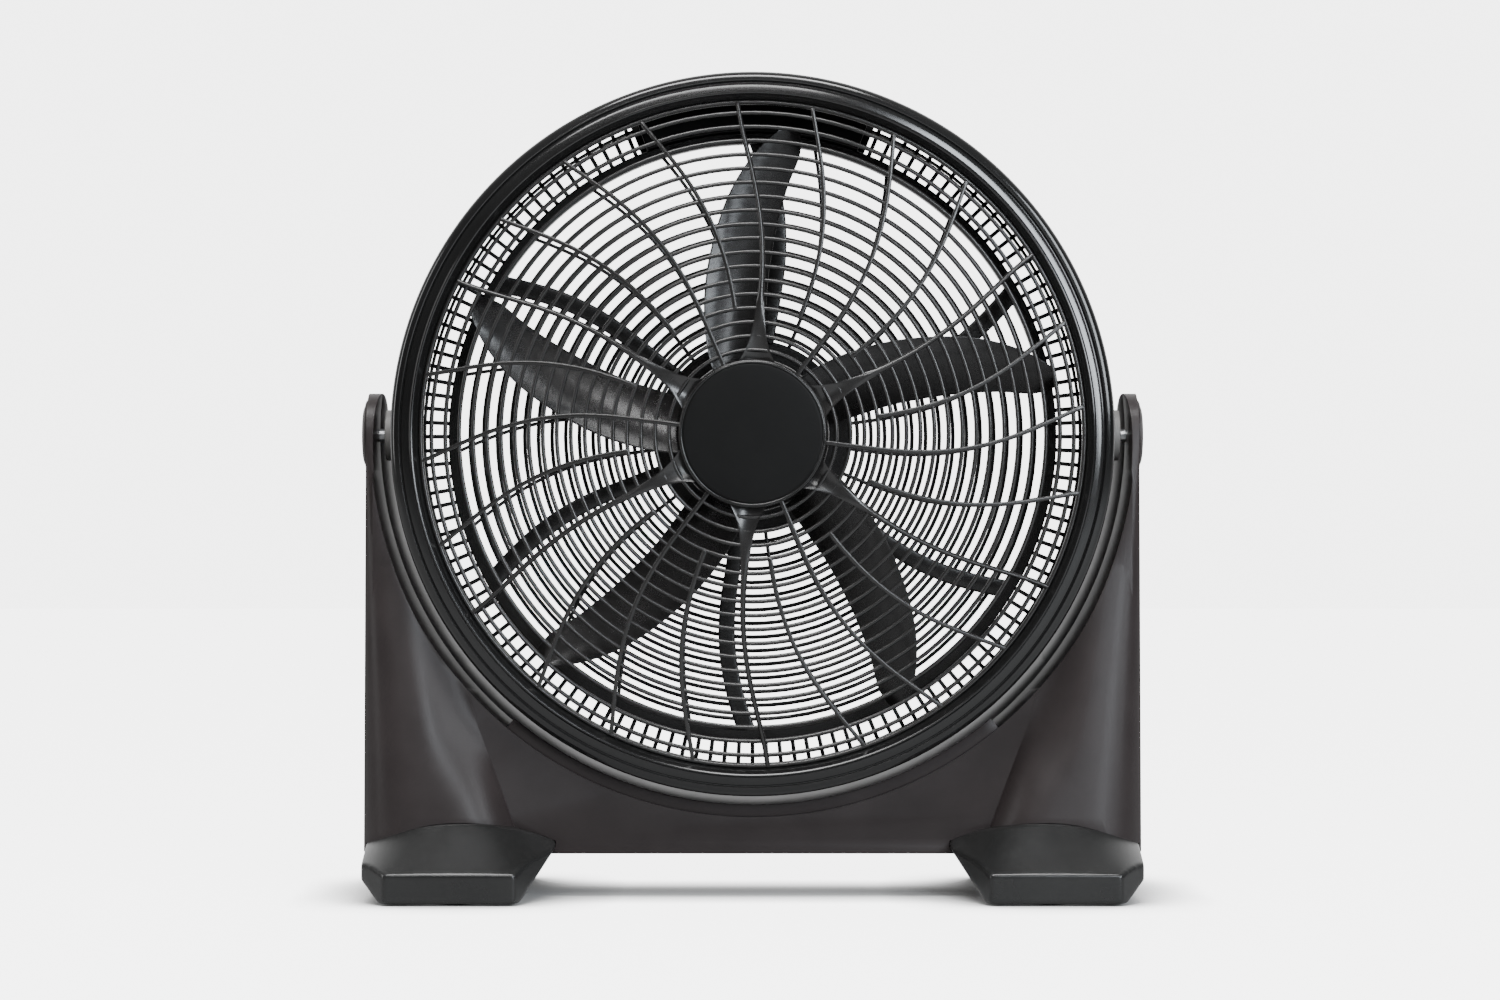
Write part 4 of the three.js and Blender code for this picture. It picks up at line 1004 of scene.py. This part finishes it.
def pylon_place(side):
    def place(u, v, w):
        if v <= 0.7:
            z = axis_z * v / 0.7
        else:
            z = axis_z + pivot_round * math.sin((v - 0.7) / 0.3 * math.pi / 2)
        inner = min(pylon_inner + pylon_taper * z, upright_inner - 1 * MM)
        across = (1 - math.cos(math.pi * u)) / 2
        return Vector((side * mix(inner, upright_outer, across), (2 * w - 1) * pylon_depth(across, z), z))
    return place


def block(name, low, high):
    """A plain box for cutting with."""
    return shaped(name, 1, 1, lambda u, v, w: Vector((mix(low[0], high[0], u), mix(low[1], high[1], v),
                                                      mix(low[2], high[2], w))))


def stand_lump():
    """The whole stand as one solid."""
    lump = shaped("pylon_right", 22, 40, pylon_place(1))
    cut(lump, shaped("pylon_left", 22, 40, pylon_place(-1)), "UNION")
    bridge = block("bridge", (-upright_outer + 6.5 * MM, -bridge_half, stand_low[2]),
                   (upright_outer - 6.5 * MM, bridge_half, axis_z))
    cut(lump, bridge, "UNION")
    reach = 160 * MM
    waist = cradle_radius + cradle_taper * rim_front
    cut(lump, turned("cradle_bowl", [
        (0, -reach), (waist + cradle_taper * reach, -reach), (waist, 0),
        (waist - cradle_rear_taper * reach, reach), (0, reach)], facets=200))
    cut(lump, block("cradle_above", (-upright_inner, -reach, axis_z), (upright_inner, reach, 2 * axis_z)))
    return lump


stand = stand_lump()
print("stand lump", len(stand.data.polygons), "faces")

# %% [markdown]
# ## The feet
# Each foot is a shell with sloping toes, whose top arches under the pylon. Its outline in plan
# has clipped corners.

# %% Feet
foot_low, foot_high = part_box("foot_right")
foot_inner, foot_outer = foot_low[0], foot_high[0]
foot_middle = (foot_inner + foot_outer) / 2
foot_arch = foot_high[2]
FOOT_VOXEL = 1.4 * MM  # small steps, which smoothing then rounds off
FOOT_TRIM = 0.9999  # keeps the smoothed foot within the CAD foot's length


def foot_place(inset):
    def place(u, v, w):
        x = mix(foot_inner + inset, foot_outer - inset, u)
        across = min(max((x - pylon_inner) / (foot_outer - pylon_inner), 0), 1)
        shoulder = pylon_depth(across, foot_arch)
        share = abs(2 * v - 1)
        if share < 1 / 3:
            y = 3 * share * shoulder
        else:
            y = mix(shoulder, foot_high[1] - inset, 1.5 * (share - 1 / 3))
        arch = foot_arch - 16 * MM * ((x - foot_middle) / (foot_outer - foot_inner) * 2) ** 2
        top = mix(arch, 24 * MM, max(share - 1 / 3, 0) * 1.5) - inset
        return Vector((x, math.copysign(y, 2 * v - 1), foot_low[2] - inset if w < 0.5 else top))
    return place


def prism(name, outline, low, high, upright):
    """An outline made thick, along Z if upright and along Y if not."""
    piece = begin("circle", vertices=len(outline), radius=1, fill_type="NGON")
    bpy.ops.object.mode_set(mode="OBJECT")
    for vertex, (a, b) in zip(piece.data.vertices, outline):
        vertex.co = (a, b, low) if upright else (a, low, b)
    bpy.ops.object.mode_set(mode="EDIT")
    bpy.ops.mesh.select_all(action="SELECT")
    thickness = (0, 0, high - low) if upright else (0, high - low, 0)
    bpy.ops.mesh.extrude_region_move(TRANSFORM_OT_translate={"value": thickness})
    return end(piece, name)


def foot_lump(inset):
    """The right foot as a solid, drawn in by an inset."""
    low, high = foot_inner + inset, foot_outer - inset
    tip = foot_high[1] - inset
    lump = shaped("foot_lump", 26, 60, foot_place(inset))
    toe_low, toe_high = low + 28 * MM, high - 19 * MM
    outer_clip, inner_clip = 23 * MM, 52 * MM
    plan = [(toe_low, -tip), (toe_high, -tip), (high, outer_clip - tip), (high, tip - outer_clip),
            (toe_high, tip), (toe_low, tip), (low, tip - inner_clip), (low, inner_clip - tip)]
    cut(lump, prism("foot_plan", plan, -10 * MM, 70 * MM, True), "INTERSECT")
    face = [(toe_low, -3 * MM), (toe_high, -3 * MM), (high, 18 * MM), (high, 63 * MM), (low, 63 * MM),
            (low, 39.5 * MM)]
    return cut(lump, prism("foot_face", face, -130 * MM, 130 * MM, False), "INTERSECT")


def mirrored(piece, name):
    """A copy on the other side of the stand, with its faces turned outwards again."""
    copy = duplicate(piece)
    only(copy)
    bpy.ops.object.mode_set(mode="EDIT")
    bpy.ops.mesh.select_all(action="SELECT")
    bpy.ops.transform.resize(value=(-1, 1, 1), center_override=(0, 0, 0))
    return end(copy, name)


for side in (-1, 1):
    low, high = sorted((side * (foot_inner + 4 * MM), side * (upright_outer + 7 * MM)))
    cut(stand, block("under", (low, -120 * MM, -1 * MM), (high, 120 * MM, foot_arch - 24 * MM)))
foot = foot_lump(0)
seat = duplicate(foot)
cut(stand, mirrored(seat, "seat_left"))
cut(stand, seat)
finished(foot, "REMESH", mode="VOXEL", voxel_size=FOOT_VOXEL)
finished(foot, "SMOOTH", factor=0.5, iterations=12)
foot.data.transform(Matrix.Diagonal((1, FOOT_TRIM, 1, 1)))
cut(foot, foot_lump(3 * MM))
foot_left = mirrored(foot, "foot_shell_left")
foot.name = foot.data.name = "foot_shell_right"
for piece, node in ((foot, "foot_right"), (foot_left, "foot_left")):
    placed(smoothed(piece, 30), "base", "foot_plastic", node)
print("foot", [round(v / MM) for v in foot.dimensions])

# %% Stand halves
for name, node, low, high in (("stand_half_front", "stand_front", -200 * MM, -0.15 * MM),
                              ("stand_half_rear", "stand_rear", 0.15 * MM, 200 * MM)):
    half = duplicate(stand)
    cut(half, block("keep", (-1, low, 0), (1, high, 1)), "INTERSECT")
    softened(half, 1.3 * MM, 3, 30)
    if node == "stand_front":
        ledge = arc_block("ledge", 140, 220, 288 * MM, 299.5 * MM, -44.6 * MM, -41 * MM)
        half = joined(half, [softened(ledge, 0.8 * MM, 2)])
    half.name = half.data.name = name
    placed(smoothed(half, 30), "base", "stand_plastic", node)
bpy.data.objects.remove(stand)

# %% [markdown]
# ## Pivots, pads and screws
# Small turned parts. The caps hide the bolts that the head tilts on, and pale washers keep the
# plastic from squeaking.

# %% Pivot caps and washers
for side, word in ((1, "right"), (-1, "left")):
    low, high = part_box(f"pivot_cap_{word}")
    inside, outside = sorted((low[0], high[0]), key=abs)
    cap_round = (high[2] - low[2]) / 2
    outline = [(0, inside), *steps_in(cap_round, inside, [
        (0.5, 0), (0, 0.5), (0.3, 1.6), (1.6, 2.3), (4.4, 2.7), (5.6, 3.6)], side)]
    outline += steps_in(cap_round, outside, [(7, 0), (9, -0.1), (10, -0.5)], side)
    outline.append((0, outside - side * 0.5 * MM))
    placed(smoothed(turned(f"side_cap_{word}", outline, along="X", facets=96)), "base", "stand_plastic",
           f"pivot_cap_{word}")
    low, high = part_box(f"friction_washer_{word}")
    outline = closed([(5.3 * MM, low[0]), (19.4 * MM, low[0]), (20 * MM, low[0] + 0.6 * MM),
                      (20 * MM, high[0] - 0.6 * MM), (19.4 * MM, high[0]), (5.3 * MM, high[0])])
    placed(smoothed(turned(f"washer_{word}", outline, along="X", facets=72)), "base", "pale_nylon",
           f"friction_washer_{word}")
    for place in ("front", "rear"):
        low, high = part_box(f"foot_pad_{place}_{word}")
        middle = ((low[0] + high[0]) / 2, (low[1] + high[1]) / 2, 0)
        outline = [(0, 0), (8.5 * MM, 0), (9 * MM, 0.4 * MM), (10.4 * MM, 0.4 * MM), (11 * MM, 1 * MM),
                   (10.6 * MM, high[2]), (0, high[2])]
        placed(smoothed(turned(f"pad_{place}_{word}", outline, centre=middle, along="Z", facets=48)), "base",
               "rubber", f"foot_pad_{place}_{word}")

# %% Screws
screw_nodes = [*(f"cover_screw_{i}" for i in range(1, 5)), *(f"motor_bolt_{i}" for i in range(1, 5)),
               *(f"stand_screw_{place}_{word}" for place in ("outer", "inner") for word in ("right", "left"))]
SCREW_HEAD = 2.5 * MM
CROSS = (0.45, 2.0)  # half the width and half the length of a recess, in millimetres
for node in screw_nodes:
    low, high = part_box(node)
    tip, face = low[1], high[1]
    head_radius = (high[0] - low[0]) / 2
    centre = Vector(((low[0] + high[0]) / 2, 0, (low[2] + high[2]) / 2))
    piece = turned(node.replace("screw", "fixing").replace("bolt", "stud"), [
        (0, tip), (1.2 * MM, tip), (1.9 * MM, tip + 1.2 * MM), (1.9 * MM, face - SCREW_HEAD),
        *steps_in(head_radius, face - SCREW_HEAD, [(0.2, 0), (0, 0.3)]),
        *steps_in(head_radius, face, [(0.2, -0.9), (0.9, -0.25), (1.8, 0)]), (0, face)],
        centre=centre, facets=32)
    for a, b in (CROSS, CROSS[::-1]):
        cut(piece, block("driver", (centre.x - a * MM, face - 1.3 * MM, centre.z - b * MM),
                         (centre.x + a * MM, face + 1 * MM, centre.z + b * MM)))
    placed(smoothed(piece), "base" if node.startswith("stand") else "head", "steel", node)
print(len(screw_nodes), "screws with a cross recess")

# %% [markdown]
# ## Finishes for what is left
# The solids inside the motor, the bolts and the nuts keep their CAD shape, and take the finish
# of the slot that the record gives them.

# %% Finishes for CAD nodes
for entry in frame["record"]["subparts"]:
    solid = frame["nodes"][entry["node"]]
    solid.data.materials.clear()
    solid.data.materials.append(FINISHES[entry["material_slot"]])
shown = [name for name, node in frame["nodes"].items() if not node.hide_render]
print("CAD nodes shown:", sorted(shown))

# %% [markdown]
# ## Floor and light
# A pale sweep with soft light from large panels, and a contact shadow painted on it round the feet. The
# panels are what the glossy rim mirrors, so their places decide where its highlights fall.

# %% Floor
SHEET_GLOW = 4.8  # the paper behind and below glows for the camera until it is almost white, less where the painted shadow falls
PAINTED_SHADOW_REACH, PAINTED_SHADOW_DEPTH = 0.065, 3.4  # how far and how strongly the painted contact shadow darkens the paper round the feet
floor = begin("plane", size=16, location=(0, 0, 0))
floor = end(floor, "floor")
paper = Finish(bpy.data.materials.new("paper"))
paper.feed(base_color=(0.4, 0.4, 0.4, 1), roughness=0.75 + paper.noise(0.2) * 0.1,
           normal=paper.bump(paper.noise(4 * MM), 0.05 * MM))
seen = paper.node("ShaderNodeLightPath", {}, {}, "Is Camera Ray")
# Painted shadow: ambient occlusion dims the paper's glow near the feet and under the bridge, standing in for
# a contact shadow.
painted_shadow_openness = paper.node("ShaderNodeAmbientOcclusion", {"samples": 12}, {"Distance": PAINTED_SHADOW_REACH}, "AO")
paper.feed(emission_color=seen * painted_shadow_openness ** PAINTED_SHADOW_DEPTH, emission_strength=SHEET_GLOW)
floor.data.materials.append(paper.owner)
floor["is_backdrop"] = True

# %% World and lights
world = bpy.data.worlds.new("studio")
bpy.context.scene.world = world
sky = Finish(world, "Background")
way = sky.node("ShaderNodeTexCoord", {}, {}, "Generated")
ahead = sky.node("ShaderNodeSeparateXYZ", {}, {0: way}, "Y")
up = sky.node("ShaderNodeSeparateXYZ", {}, {0: way}, "Z")
seen = sky.node("ShaderNodeLightPath", {}, {}, "Is Camera Ray")
room = sky.ramp(ahead, 0.1, 0.8) * 1.6 + sky.ramp(up, 0.1, 1.0) * 0.4 + 0.03
sky.feed(color=(1, 1, 1, 1), strength=seen * SHEET_GLOW + (1 - seen) * room)


def panel(name, place, target, size, power, colour=(1, 1, 1), roll=0):
    """A soft light of a size that faces a target, and may be rolled about its own line of sight."""
    data = bpy.data.lights.new(name, "AREA")
    data.shape = "RECTANGLE"
    data.size, data.size_y = size
    data.energy = power
    data.color = colour
    light = bpy.data.objects.new(name, data)
    light.location = place
    aim = (Vector(target) - Vector(place)).to_track_quat("-Z", "Y")
    light.rotation_euler = (aim @ Quaternion((0, 0, 1), math.radians(roll))).to_euler()
    bpy.context.scene.collection.objects.link(light)
    return light


middle = (0, 0, axis_z)
panel("right", (1.9, -1.5, 1.2), middle, (0.5, 1.4), 34, (0.9, 0.95, 1))
panel("front_right", (1.32, -3.2, 1.15), middle, (0.45, 1.8), 74, (0.88, 0.94, 1), roll=34)
panel("above", (-0.1, -0.9, 2.3), middle, (1.4, 0.5), 60)
panel("above_front", (-0.3, -2.4, 1.9), middle, (1.2, 0.25), 22)
panel("left", (-2.2, -0.5, 0.9), middle, (0.5, 1.4), 12)

# %% [markdown]
# ## Sizes and finish
# The box of the finished model is kept beside the CAD model's, so the two can be compared.

# %% Sizes and finish
low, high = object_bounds()
{"cad": [list(cad_low), list(cad_high)], "visual": [list(low), list(high)]}
print("visual box", [round(v, 4) for v in (*low, *high)])
